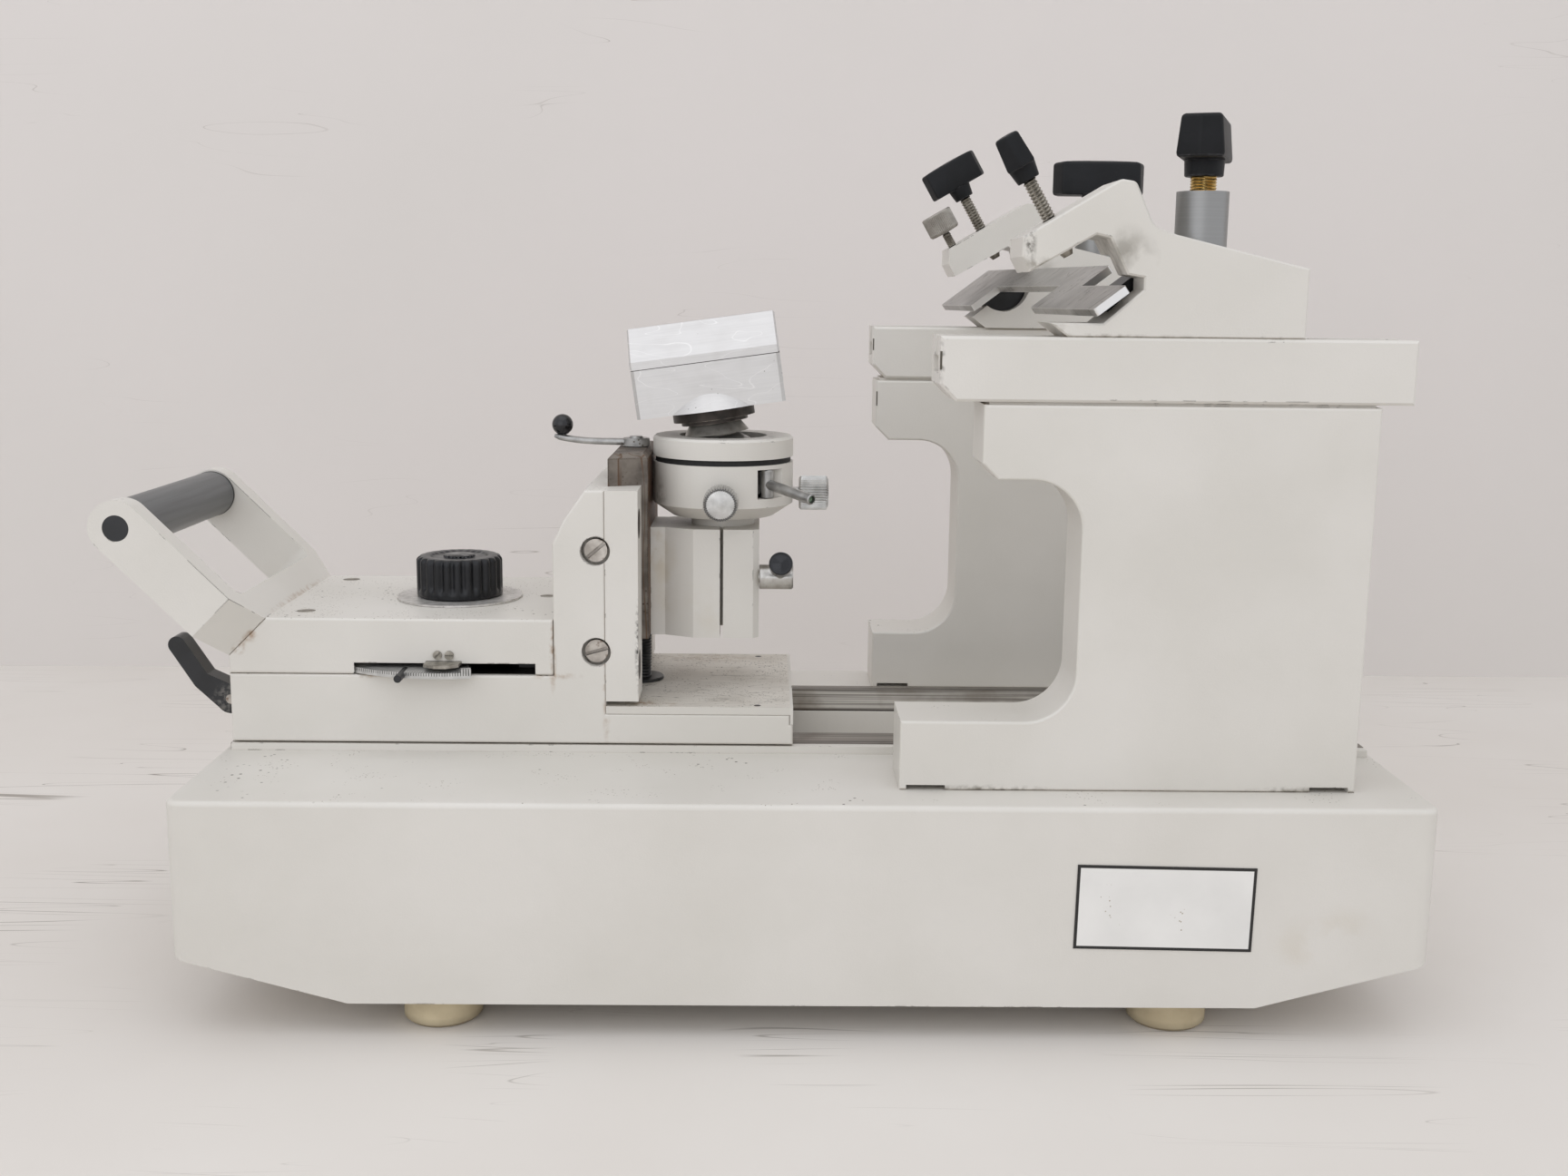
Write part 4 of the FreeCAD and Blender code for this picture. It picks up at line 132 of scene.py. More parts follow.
def dress(finish, colour, *names):
    """Link a finish's colour, where one is given, and put the finish on CAD nodes by name."""
    if colour is not None:
        finish.node_tree.links.new(colour, finish.node_tree.nodes["Principled BSDF"].inputs["Base Color"])
    for name in names:
        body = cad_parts[name]
        body.data.materials.clear()
        body.data.materials.append(finish)


def spread_mesh(name, points):
    """A flat sheet from a grid of points: neighbours along both directions of the grid make each face."""
    rows, columns = points.shape[:2]
    i, j = np.arange(rows - 1)[:, None], np.arange(columns - 1)[None, :]
    low = i * columns + j
    faces = np.stack([low, low + columns, low + columns + 1, low + 1], -1)
    mesh = bpy.data.meshes.new(name)
    mesh.from_pydata(points.reshape(-1, 3).tolist(), [], faces.reshape(-1, 4).tolist())
    piece = bpy.data.objects.new(name, mesh)
    bpy.context.collection.objects.link(piece)
    return piece


wall_back, room_side, wall_tall = 0.74, 4.0, 3.0
BENCH, t, shader, place = start_material("white_laminate_bench", 0.5)
colour = two_tones(t, place, "#DAD4CD", "#E0DBD5", 2.6)
for scale, stretch, turn, width in ((1.6, (1.0, 14.0, 1.0), 0.5, 0.0028),
                                    (2.1, (1.0, 16.0, 1.0), -0.35, 0.0024),
                                    (1.3, (1.0, 10.0, 1.0), 1.3, 0.0022)):
    line = scratches(t, place, scale, stretch, turn, width)
    field = add(t, "ShaderNodeTexNoise", {"Vector": place, "Scale": 5.0, "Detail": 2.0})
    there = add(t, "ShaderNodeMapRange", {"Value": field.outputs["Fac"], "From Min": 0.5, "From Max": 0.62})
    colour = tinted(t, colour, times(t, line, there.outputs[0]), "#8B8278")
dress(BENCH, colour)
bench = spread_mesh("bench", np.array([[(-room_side, -room_side, 0), (room_side, -room_side, 0)],
                                       [(-room_side, room_side, 0), (room_side, room_side, 0)]]))
bench.data.materials.append(BENCH)
WALL, t, shader, place = start_material("matt_wall_paint", 0.9)
colour = two_tones(t, place, "#D8D3CE", "#DCD6D2", 1.5)
line = scratches(t, place, 2.4, (1.0, 1.0, 15.0), 0.0, 0.0016)
field = add(t, "ShaderNodeTexNoise", {"Vector": place, "Scale": 4.0, "Detail": 2.0}).outputs["Fac"]
there = add(t, "ShaderNodeMapRange", {"Value": field, "From Min": 0.54, "From Max": 0.66}).outputs[0]
dress(WALL, tinted(t, colour, times(t, line, there), "#B4ADA6"))
clear = add(t, "ShaderNodeBsdfTransparent").outputs[0]
behind = add(t, "ShaderNodeNewGeometry").outputs["Backfacing"]
one_way = add(t, "ShaderNodeMixShader", {0: behind, 1: shader.outputs[0], 2: clear})
t.links.new(one_way.outputs[0], t.nodes["Material Output"].inputs["Surface"])
wall = spread_mesh("wall", np.array([[(-room_side, wall_back, wall_tall), (room_side, wall_back, wall_tall)],
                                     [(-room_side, wall_back, 0), (room_side, wall_back, 0)]]))
wall.data.materials.append(WALL)
world = bpy.data.worlds.new("soft_room_light")
bpy.context.scene.world = world
world.use_nodes = True
light_tone = (0.945, 0.961, 1.0)
world.node_tree.nodes["Background"].inputs["Color"].default_value = (*light_tone, 1)
world.node_tree.nodes["Background"].inputs["Strength"].default_value = 1.04
for name, spot, aim, size, power in (("ceiling_panel", (-0.2, -0.5, 2.1), (0, 0, 0.1), 1.8, 5),
                                     ("window", (-0.9, -2.2, 1.0), (0, 0, 0.2), 2.0, 6.5)):
    lamp = bpy.data.objects.new(name, bpy.data.lights.new(name, "AREA"))
    bpy.context.collection.objects.link(lamp)
    lamp.data.size, lamp.data.energy, lamp.data.color = size, power, light_tone
    lamp.location = spot
    lamp.rotation_euler = (Vector(aim) - Vector(spot)).to_track_quat("-Z", "Y").to_euler()

# Cast base and its bottom cover. A deep grey iron casting, filled, ground and sprayed with a warm white
# textured enamel. To the eye it is satin and even, with a fine orange peel, small dark chips along its
# edges, brown grime where pieces meet, laid by ambient occlusion and so partly painted shade, and dark
# specks of old wax and dirt on what faces up.
ENAMEL_LOW, ENAMEL_HIGH, PRIMER, JOINT_GRIME_AND_SHADE, SPECK = "#D0CCC4", "#D7D3CC", "#55514A", "#8B7A5E", "#4A4138"
chip_reach, grime_and_shade_reach, peel_grain = 0.0011, 0.0035, 1 / 0.0011


def facing(tree, axis="Z", start=0.7, end=0.95):
    """1 where a surface faces along an axis, upward as a rule: its normal's share there, from start to end."""
    normal = add(tree, "ShaderNodeNewGeometry").outputs["Normal"]
    share = add(tree, "ShaderNodeSeparateXYZ", {"Vector": normal}).outputs[axis]
    return add(tree, "ShaderNodeMapRange", {"Value": share, "From Min": start, "From Max": end}).outputs[0]


def occlusion_shade(tree, reach, start, end, most=1.0):
    """How deep a surface lies in a joint or groove, 0 to most, from what closes round it within a reach: an
    ambient occlusion that the finishes paint as shade.
    """
    open_air = add(tree, "ShaderNodeAmbientOcclusion", {"Distance": reach}, samples=6).outputs["AO"]
    return add(tree, "ShaderNodeMapRange", {"Value": open_air, "From Min": start, "From Max": end,
                                            "To Max": most}).outputs[0]


def grainy(tree, shader, place, scale, strength, deep):
    """A fine relief by bump, such as a paint's orange peel or a moulding's grain, a few tenths deep."""
    noise = add(tree, "ShaderNodeTexNoise", {"Vector": place, "Scale": scale, "Detail": 2.0}).outputs["Fac"]
    bump = add(tree, "ShaderNodeBump", {"Height": noise, "Strength": strength, "Distance": deep})
    tree.links.new(bump.outputs[0], shader.inputs["Normal"])


def specks(tree, place, scale, size, rare):
    """Scattered dots, 0 to 1: the middles of a cell pattern's cells, kept where a wide noise is high."""
    cell = add(tree, "ShaderNodeTexVoronoi", {"Vector": place, "Scale": scale, "Randomness": 1.0})
    noise = add(tree, "ShaderNodeTexNoise", {"Vector": place, "Scale": scale / 11, "Detail": 3.0})
    dot = add(tree, "ShaderNodeMapRange", {"Value": cell.outputs["Distance"], "From Min": size,
                                           "From Max": size * 0.7})
    kept = add(tree, "ShaderNodeMapRange", {"Value": noise.outputs["Fac"], "From Min": rare,
                                            "From Max": rare + 0.06})
    return times(tree, dot.outputs[0], kept.outputs[0])


def worn_edge(tree, place, reach, grain, low, high):
    """Where an edge is rubbed, 0 to 1: the bent normal of a rounded edge, broken up by two noises."""
    bent = add(tree, "ShaderNodeBevel", {"Radius": reach}, samples=4).outputs[0]
    normal = add(tree, "ShaderNodeNewGeometry").outputs["Normal"]
    turn = add(tree, "ShaderNodeVectorMath", {0: bent, 1: normal}, operation="DOT_PRODUCT").outputs["Value"]
    edge = add(tree, "ShaderNodeMapRange", {"Value": turn, "From Min": 0.995, "From Max": 0.93}).outputs[0]
    fine = add(tree, "ShaderNodeTexNoise", {"Vector": place, "Scale": grain, "Detail": 5.0}).outputs["Fac"]
    wide = add(tree, "ShaderNodeTexNoise", {"Vector": place, "Scale": grain / 9, "Detail": 2.0}).outputs["Fac"]
    worn = times(tree, times(tree, edge, fine), wide)
    return add(tree, "ShaderNodeMapRange", {"Value": worn, "From Min": low, "From Max": high}).outputs[0]


def stain(tree, place, centre, reach, grain, strength=1.0):
    """A stain's share, from its strength at the centre to 0 at its reach in millimetres, broken by a noise."""
    middle, wide = np.array(centre), np.array(reach) / 1000
    local = add(tree, "ShaderNodeMapping", {"Vector": place, "Location": tuple(-middle / wide),
                                            "Scale": tuple(1 / wide)}).outputs[0]
    far = add(tree, "ShaderNodeVectorMath", {0: local}, operation="LENGTH").outputs["Value"]
    fall = add(tree, "ShaderNodeMapRange", {"Value": far, "From Min": 1.0, "From Max": 0.2}).outputs[0]
    noise = add(tree, "ShaderNodeTexNoise", {"Vector": place, "Scale": grain, "Detail": 6.0}).outputs["Fac"]
    broken = add(tree, "ShaderNodeMapRange", {"Value": noise, "From Min": 0.42, "From Max": 0.66,
                                              "To Max": strength}).outputs[0]
    return times(tree, fall, broken)


def inside(tree, place, centre, half):
    """1 within a box round a centre, given by its half sizes in millimetres, and 0 outside it."""
    wide = np.array(half) / 1000
    local = add(tree, "ShaderNodeMapping", {"Vector": place, "Location": tuple(-np.array(centre) / wide),
                                            "Scale": tuple(1 / wide)}).outputs[0]
    spot = add(tree, "ShaderNodeSeparateXYZ", {"Vector": add(
        tree, "ShaderNodeVectorMath", {0: local}, operation="ABSOLUTE").outputs[0]}).outputs
    far = add(tree, "ShaderNodeMath", {0: spot["X"], 1: spot["Y"]}, operation="MAXIMUM").outputs[0]
    far = add(tree, "ShaderNodeMath", {0: far, 1: spot["Z"]}, operation="MAXIMUM").outputs[0]
    return add(tree, "ShaderNodeMapRange", {"Value": far, "From Min": 1.0, "From Max": 0.97}).outputs[0]


def white_enamel(name, rare=0.6):
    """Sprayed enamel: two close tones, grime and painted shade in the joints, chipped edges, and specks that
    lie on top.
    """
    made, tree, shader, place = start_material(name, 0.42)
    colour = two_tones(tree, place, ENAMEL_LOW, ENAMEL_HIGH, 9.0)
    # Joints and grooves are tinted brown by their ambient occlusion: partly grime, partly painted shade.
    joint_grime_and_shade = occlusion_shade(tree, grime_and_shade_reach, 0.55, 0.2, 0.75)
    noise = add(tree, "ShaderNodeTexNoise", {"Vector": place, "Scale": 45.0, "Detail": 5.0}).outputs["Fac"]
    colour = tinted(tree, colour, times(tree, joint_grime_and_shade, noise), JOINT_GRIME_AND_SHADE)
    colour = tinted(tree, colour, worn_edge(tree, place, chip_reach, 130.0, 0.34, 0.37), PRIMER)
    lying = facing(tree)
    colour = tinted(tree, colour, times(tree, specks(tree, place, 170.0, 0.17, rare), lying), SPECK)
    colour = tinted(tree, colour, times(tree, specks(tree, place, 420.0, 0.2, rare - 0.04), lying), "#857B6C")
    grainy(tree, shader, place, peel_grain, 0.16, 0.0004)
    return made, tree, shader, place, colour


BASE_ENAMEL, t, shader, place, colour = white_enamel("white_enamel_base")
low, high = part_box("base_casting")
yellowed = stain(t, place, (high.x - 0.06, low.y, 0.06), (34, 30, 22), 30.0, 0.35)
dress(BASE_ENAMEL, tinted(t, colour, yellowed, "#B9A98A"), "base_casting", "bottom_cover")

# Nameplate: a thin steel plate with a printed white enamel face and a black border line, stuck to the
# base's front a little out of level. It is kept bare. Its edges are dark where the print stops.
PLATE, t, shader, place = start_material("printed_white_plate", 0.3)
low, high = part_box("nameplate")
middle, turn = (low + high) / 2, math.radians(0.9)
plate_long, plate_tall, line_in, line_wide = 0.0992, 0.0486, 0.0010, 0.0008
shift = add(t, "ShaderNodeVectorMath", {0: place, 1: tuple(-middle)}, operation="ADD").outputs[0]
straight = add(t, "ShaderNodeVectorRotate", {"Vector": shift, "Angle": -turn},
               rotation_type="Y_AXIS").outputs[0]
spot = add(t, "ShaderNodeSeparateXYZ", {"Vector": straight})
ends = []
for axis, half in (("X", plate_long / 2), ("Z", plate_tall / 2)):
    off = add(t, "ShaderNodeMath", {0: spot.outputs[axis]}, operation="ABSOLUTE").outputs[0]
    ends.append(add(t, "ShaderNodeMath", {0: half, 1: off}, operation="SUBTRACT").outputs[0])
rim = add(t, "ShaderNodeMath", {0: ends[0], 1: ends[1]}, operation="MINIMUM").outputs[0]
line = add(t, "ShaderNodeMapRange", {"Value": rim, "From Min": line_in + line_wide,
                                     "From Max": line_in + line_wide * 0.75}).outputs[0]
colour = two_tones(t, place, "#DEDCD8", "#E6E4E0", 25.0)
colour = tinted(t, colour, specks(t, place, 260.0, 0.12, 0.6), "#9A8C74")
dress(PLATE, tinted(t, colour, line, "#1E1D1C"), "nameplate")

# Rubber feet: four moulded rubber bumpers screwed under the base. The beige rubber is matt and a little
# darker towards the bottom, near the bench.
RUBBER, t, shader, place = start_material("beige_moulded_rubber", 0.75)
colour = two_tones(t, place, "#B3A486", "#C4B697", 60.0, 5.0)
height = add(t, "ShaderNodeSeparateXYZ", {"Vector": place}).outputs["Z"]
# The feet are darkened over their lowest six millimetres, towards the bench.
dark_band_tall = 0.006
darker_low = add(t, "ShaderNodeMapRange", {"Value": height, "From Min": dark_band_tall, "From Max": 0.0,
                                      "To Max": 0.6}).outputs[0]
dress(RUBBER, tinted(t, colour, darker_low, "#6E6352"), "rubber_feet")
grainy(t, shader, place, 1200.0, 0.3, 0.0003)

# Bed rails and the sledge's runners: hardened steel ways, ground along their length and kept under oil.
# They look dark and wet, with long fine streaks, and brown where old oil has gummed.
OILED, t, shader, place = start_material("oiled_ground_steel", 0.38, 0.8)
colour = two_tones(t, place, "#55504A", "#9A958C", 1.0, 3.0, 0.38, 0.62, (4, 700, 700))
gum = add(t, "ShaderNodeTexNoise", {"Vector": place, "Scale": 22.0, "Detail": 5.0}).outputs["Fac"]
gum = add(t, "ShaderNodeMapRange", {"Value": gum, "From Min": 0.5, "From Max": 0.7, "To Max": 0.7}).outputs[0]
dress(OILED, tinted(t, colour, gum, "#4B3E2F"), "bed_rails", "sledge_runners")

# Towers and top rails: two plate-like castings bolted to the base with T-slotted rails on top, in the
# same enamel. Hands and cloths have scuffed the mouths a little darker, and the corners are chipped.
TOWER_ENAMEL, t, shader, place, colour = white_enamel("white_enamel_towers", 0.62)
low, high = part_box("near_tower")
for centre, reach, strength in (((low.x + 0.004, low.y, high.z - 0.03), (9, 6, 26), 0.9),
                                ((low.x + 0.05, low.y, low.z), (46, 8, 4), 0.8),
                                ((high.x - 0.03, low.y, low.z), (40, 8, 4), 0.8)):
    colour = tinted(t, colour, stain(t, place, centre, reach, 260.0, strength), "#57503F")
# Small dark patches at the front corners of the towers' and top rails' end faces are painted shade, standing
# for the pockets there.
low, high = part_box("near_top_rail")
colour = tinted(t, colour, stain(t, place, (low.x, low.y, high.z - 0.014), (3, 6, 14), 300.0), "#3C3831")
for node, drop, half in (("near_tower", 0.020, (1.0, 3, 7)), ("near_top_rail", 0.013, (1.0, 3, 5)),
                         ("far_tower", 0.014, (0.8, 3, 5)), ("far_top_rail", 0.012, (0.8, 3, 4))):
    low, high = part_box(node)
    colour = tinted(t, colour, inside(t, place, (low.x, low.y, high.z - drop), half), "#4A4438")
dress(TOWER_ENAMEL, colour, "near_tower", "far_tower", "near_top_rail", "far_top_rail")

# Tower and rail bolts: hexagon and socket steel bolts from below, plain zinc-plated, dull and bluish grey.
ZINC, t, shader, place = start_material("dull_zinc_plate", 0.45, 0.8)
dress(ZINC, two_tones(t, place, "#8D8C88", "#A9A8A4", 90.0, 4.0), "frame_bolts")

# Sledge casting with its column, and the platform's end cap: one long casting in the same enamel. Water
# has crept under the paint at the joints and left fine orange lines.
SLEDGE_ENAMEL, t, shader, place, colour = white_enamel("white_enamel_sledge", 0.6)
rust_tone, machine_zero = "#8F6A3C", np.array((0.032, -0.165, 0.135))


def at(x, y, z):
    """A point in millimetres from the base's middle, front face and top face, in the frame's metres."""
    return np.array((x, y, z)) / 1000 + machine_zero


for centre, reach, strength in ((at(-150, 104, 58), (2.5, 4, 24), 0.9), (at(-262, 104, 47.5), (14, 4, 3), 0.7),
                                (at(-149, 104, 47), (20, 4, 2.5), 0.5), (at(-118, 104, 40), (3, 4, 60), 0.45)):
    colour = tinted(t, colour, stain(t, place, centre, reach, 200.0, strength), rust_tone)
# Inside the feed window the casting is painted near black: painted shade.
colour = tinted(t, colour, inside(t, place, at(-206, 177, 48), (57, 70, 7)), "#1E1B18")
dress(SLEDGE_ENAMEL, colour, "sledge_body", "platform_end_cap")

# Platform: a ground steel plate let into the sledge under the specimen head. It is light grey and
# speckled all over with dark and rusty flecks from wet work, with two small screw holes painted on as
# dark discs of shade.
PLATFORM, t, shader, place = start_material("flecked_ground_steel", 0.5, 0.1)
colour = two_tones(t, place, "#CBC5BB", "#DCD7CE", 30.0, 6.0)
colour = tinted(t, colour, specks(t, place, 520.0, 0.24, 0.46), "#857B6D")
colour = tinted(t, colour, specks(t, place, 300.0, 0.2, 0.5), "#4C443A")
colour = tinted(t, colour, scratches(t, place, 30.0, (1.0, 6.0, 1.0), 0.7, 0.012), "#8C857A")
for centre, reach, strength in ((at(-97, 113, 28), (12, 8, 6), 0.9), (at(-80, 110, 28), (9, 6, 6), 0.6),
                                (at(-60, 240, 28), (50, 16, 6), 0.45)):
    colour = tinted(t, colour, stain(t, place, centre, reach, 240.0, strength), "#8A6B3F")
# The two screw holes are dark discs in the colour: painted shade.
hole_radius = 0.0024
for y in (109, 246):
    off = add(t, "ShaderNodeVectorMath", {0: place, 1: tuple(at(-27, y, 28.6))}, operation="DISTANCE")
    hole_shade = add(t, "ShaderNodeMapRange", {"Value": off.outputs["Value"], "From Min": hole_radius,
                                         "From Max": hole_radius * 0.8}).outputs[0]
    colour = tinted(t, colour, hole_shade, "#2E2620")
dress(PLATFORM, tinted(t, colour, facing(t, "Y", -0.7, -0.9), "#CFCBC3"), "platform_plate")

# Feed housing and handle: two enamelled castings on the sledge's left. Crumbs of wax and dust lie on
# the housing's top, most by the handle's foot, and rust creeps out of the joint between the two.
HOUSING_ENAMEL, t, shader, place, colour = white_enamel("white_enamel_housing", 0.5)
crumbs = specks(t, place, 330.0, 0.24, 0.5)
near_foot = stain(t, place, at(-318, 178, 81.4), (22, 90, 12), 60.0)
colour = tinted(t, colour, times(t, times(t, crumbs, near_foot), facing(t)), "#3E362D")
for centre, reach, strength in ((at(-338, 105, 64), (6, 4, 6), 1.0), (at(-331, 105, 71), (6, 4, 6), 1.0),
                                (at(-262, 104, 51), (5, 12, 5), 1.0), (at(-323, 178, 81), (3.5, 80, 3.5), 0.7),
                                (at(-150, 104, 64), (2.5, 6, 20), 0.9)):
    colour = tinted(t, colour, stain(t, place, centre, reach, 230.0, strength), rust_tone)
# Inside the feed window the casting is painted near black: painted shade.
colour = tinted(t, colour, inside(t, place, at(-206, 177, 48), (57, 70, 7)), "#1E1B18")
dress(HOUSING_ENAMEL, colour, "feed_housing", "handle")

# Housing screws and pointer: slotted cheese-head screws and a small bent plate over the ring's edge,
# zinc-plated steel gone grey, with painted shade in the slots.
SCREW, t, shader, place = start_material("tarnished_zinc_screws", 0.42, 0.75)
colour = two_tones(t, place, "#8B867C", "#B2ADA3", 240.0, 5.0)
# Slots and hollows are darkened by ambient occlusion: painted shade.
dress(SCREW, tinted(t, colour, occlusion_shade(t, 0.002, 0.7, 0.3), "#2A241E"), "housing_screws", "index_pointer")

# Grip: a rod through both legs carries a dark grey extruded tube, smooth and satin, held by two black
# push-in caps. Black rings close the tube's ends.
GRIP, t, shader, place = start_material("grey_extruded_plastic", 0.33)
colour = two_tones(t, place, "#4A4C4D", "#565859", 1.0, 3.0, 0.4, 0.6, (300, 8, 300))
colour = tinted(t, colour, specks(t, place, 240.0, 0.1, 0.62), "#8F8D88")
dress(GRIP, colour)
BLACK, t, shader, place = start_material("black_moulded_plastic", 0.42)
colour = two_tones(t, place, "#17181A", "#212225", 40.0, 5.0)
colour = tinted(t, colour, specks(t, place, 380.0, 0.12, 0.58), "#6F6E6B")
dress(BLACK, colour)
grainy(t, shader, place, 1500.0, 0.15, 0.0002)


def turned_grid(along, radius, start, axis, out, turns=96, relief=None):
    """A turned surface: start + along * axis + wide * (cos a * out + sin a * across), where wide is the
    profile's radius less the relief, a depth that may vary with the angle a and along. Millimetres."""
    along, radius = np.array(along, float)[:, None], np.array(radius, float)[:, None]
    angle = np.linspace(0, 2 * np.pi, turns, endpoint=False)[None, :]
    wide = radius - (relief(angle, along) * (radius > 0) if relief else 0 * angle)
    axis, out = np.array(axis, float), np.array(out, float)
    spin = np.cos(angle)[..., None] * out + np.sin(angle)[..., None] * np.cross(axis, out)
    return np.array(start) + (along[..., None] * axis + wide[..., None] * spin) / 1000


def shell(name, finish, body, slot, *grids, sharp=35.0):
    """One piece from closed grids of points: neighbours make each face, the second direction runs round,
    points that meet at a pole are merged, and edges sharper than an angle stay crisp."""
    points, faces, start = [], [], 0
    for grid in grids:
        rows, columns = grid.shape[:2]
        i, j = np.arange(rows - 1)[:, None], np.arange(columns)[None, :]
        low, low_next = i * columns + j, i * columns + (j + 1) % columns
        faces.append(start + np.stack([low, low_next, low_next + columns, low + columns], -1).reshape(-1, 4))
        points.append(grid.reshape(-1, 3))
        start += rows * columns
    mesh = bpy.data.meshes.new(name)
    mesh.from_pydata(np.concatenate(points).tolist(), [], np.concatenate(faces).tolist())
    work = bmesh.new()
    work.from_mesh(mesh)
    bmesh.ops.remove_doubles(work, verts=work.verts, dist=1e-7)
    bmesh.ops.recalc_face_normals(work, faces=work.faces)
    work.to_mesh(mesh)
    work.free()
    mesh.shade_smooth()
    mesh.set_sharp_from_angle(angle=math.radians(sharp))
    mesh.materials.append(finish)
    piece = bpy.data.objects.new(name, mesh)
    bpy.context.collection.objects.link(piece)
    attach(piece, body)
    return piece


low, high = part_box("grip_tube")
start = ((low.x + high.x) / 2, low.y, (low.z + high.z) / 2)
grip_long, grip_radius, ring_long, grip_bore = (high.y - low.y) * 1000, 15.0, 1.4, 5.1
tube_end, eased = grip_long - ring_long, 0.5
tube = turned_grid([ring_long, ring_long, ring_long + eased, tube_end - eased, tube_end, tube_end, ring_long],
                   [grip_bore, grip_radius - eased, grip_radius, grip_radius, grip_radius - eased, grip_bore,
                    grip_bore], start, (0, 1, 0), (0, 0, 1), 64)
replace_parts(shell("grip_sleeve", GRIP, "sledge", "grip_plastic", tube), "grip_tube")
rings = [turned_grid([foot, foot, foot + 0.4, foot + ring_long - 0.4, foot + ring_long, foot + ring_long, foot],
                     [grip_bore, 14.8, 15.2, 15.2, 14.8, grip_bore, grip_bore], start, (0, 1, 0), (0, 0, 1), 64)
         for foot in (0.0, grip_long - ring_long)]
shell("grip_end_rings", BLACK, "sledge", "black_plastic", *rings)
dress(BLACK, None, "grip_rod")

# Gibs and gib screws: two enamelled dovetail bars on the column, held by big slotted screws in sunk
# holes. The screws are bare steel, browned and rusty in patches, with painted shade round their rims.
GIB_ENAMEL, t, shader, place, colour = white_enamel("white_enamel_gibs", 0.62)
for z in (123.3, 62.0):
    colour = tinted(t, colour, stain(t, place, at(-124, 104, z), (11, 7, 11), 160.0, 0.7), rust_tone)
# Two dark discs on the near gib's right face are painted shade, standing for holes there.
low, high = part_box("near_gib")
round_in, round_radius = 0.0105, 0.0092
for z in (138.7, 52.5):
    off = add(t, "ShaderNodeVectorMath", {0: place, 1: (high.x, low.y + round_in, at(0, 0, z)[2])},
              operation="DISTANCE")
    ring = add(t, "ShaderNodeMapRange", {"Value": off.outputs["Value"], "From Min": round_radius,
                                         "From Max": round_radius - 0.0004}).outputs[0]
    colour = tinted(t, colour, ring, "#2E2822")
colour = tinted(t, colour, stain(t, place, (high.x, low.y, low.z + 0.035), (2.5, 4, 34), 420.0), "#2A2621")
dress(GIB_ENAMEL, colour, "near_gib", "far_gib")
GIB_SCREW, t, shader, place = start_material("browned_turned_steel", 0.4, 0.8)
colour = two_tones(t, place, "#A19A92", "#C9C3BB", 150.0, 6.0)
rusty = add(t, "ShaderNodeTexNoise", {"Vector": place, "Scale": 190.0, "Detail": 6.0}).outputs["Fac"]
rusty = add(t, "ShaderNodeMapRange", {"Value": rusty, "From Min": 0.58, "From Max": 0.7}).outputs[0]
colour = tinted(t, colour, rusty, "#5E432C")
# Their rims and slots are darkened by ambient occlusion: painted shade.
dress(GIB_SCREW, tinted(t, colour, occlusion_shade(t, 0.003, 0.6, 0.25, 0.9), "#2B2119"), "gib_screws", "lever_pin")

# Coarse feed lever: a curved black moulded lever with a rounded tip, on a pin at the sledge's left end.
# Its paint is chipped to pale metal round the pin.
LEVER_BLACK, t, shader, place = start_material("black_painted_lever", 0.3)
colour = two_tones(t, place, "#18191B", "#232427", 60.0, 5.0)
chipped = stain(t, place, at(-353.5, 133, 24), (13, 10, 13), 420.0)
colour = tinted(t, colour, chipped, "#7F7C76")
dress(LEVER_BLACK, colour, "feed_lever")

# Feed knob: a black moulded knob with 24 rounded ribs, a dished top and a centre cap, pressed on the
# feed shaft. It is glossy, with ribs and rims rubbed grey by hands and pale dust in the grooves.
KNOB, t, shader, place = start_material("black_ribbed_knob", 0.3)
shader.inputs["IOR"].default_value = 1.4
colour = two_tones(t, place, "#0F1013", "#1B1C1F", 90.0, 4.0)
colour = tinted(t, colour, worn_edge(t, place, 0.0009, 320.0, 0.2, 0.34), "#77767A")
low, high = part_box("feed_knob")
middle = stain(t, place, ((low.x + high.x) / 2, (low.y + high.y) / 2, high.z), (26, 26, 5), 130.0, 0.8)
dress(KNOB, tinted(t, colour, times(t, middle, facing(t)), "#8A8987"))
rib_count, rib_deep, rib_foot, knob_tall = 24, 1.9, 4.2, 25.5


def ribs(angle, along):
    """Grooves between ribs: a raised cosine of the angle to a power, faded in above the smooth foot."""
    fade = np.clip((along - rib_foot) / 2.0, 0, 1) * np.clip((knob_tall + 0.4 - along) / 1.5, 0, 1)
    return rib_deep * fade * (0.5 + 0.5 * np.cos(rib_count * angle)) ** 1.6


rise = np.linspace(rib_foot, knob_tall - 3.2, 9)
knob_wall = turned_grid([0, 0, 1.0, *rise, knob_tall - 2.4, knob_tall - 1.4, knob_tall - 0.5, knob_tall,
                         knob_tall, knob_tall - 0.7, knob_tall - 0.7, knob_tall + 0.3, knob_tall + 0.7,
                         knob_tall + 0.7],
                        [0, 26.0, 27.0, *np.full(9, 27.0), 26.9, 26.4, 25.4, 24.2, 18.5,
                         17.6, 10.2, 9.6, 8.6, 0],
                        ((low.x + high.x) / 2, (low.y + high.y) / 2, high.z - (knob_tall + 1.0) / 1000),
                        (0, 0, 1), (1, 0, 0), rib_count * 12, ribs)
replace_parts(shell("ribbed_feed_knob", KNOB, "feed_knob", "black_plastic", knob_wall, sharp=50.0), "feed_knob")

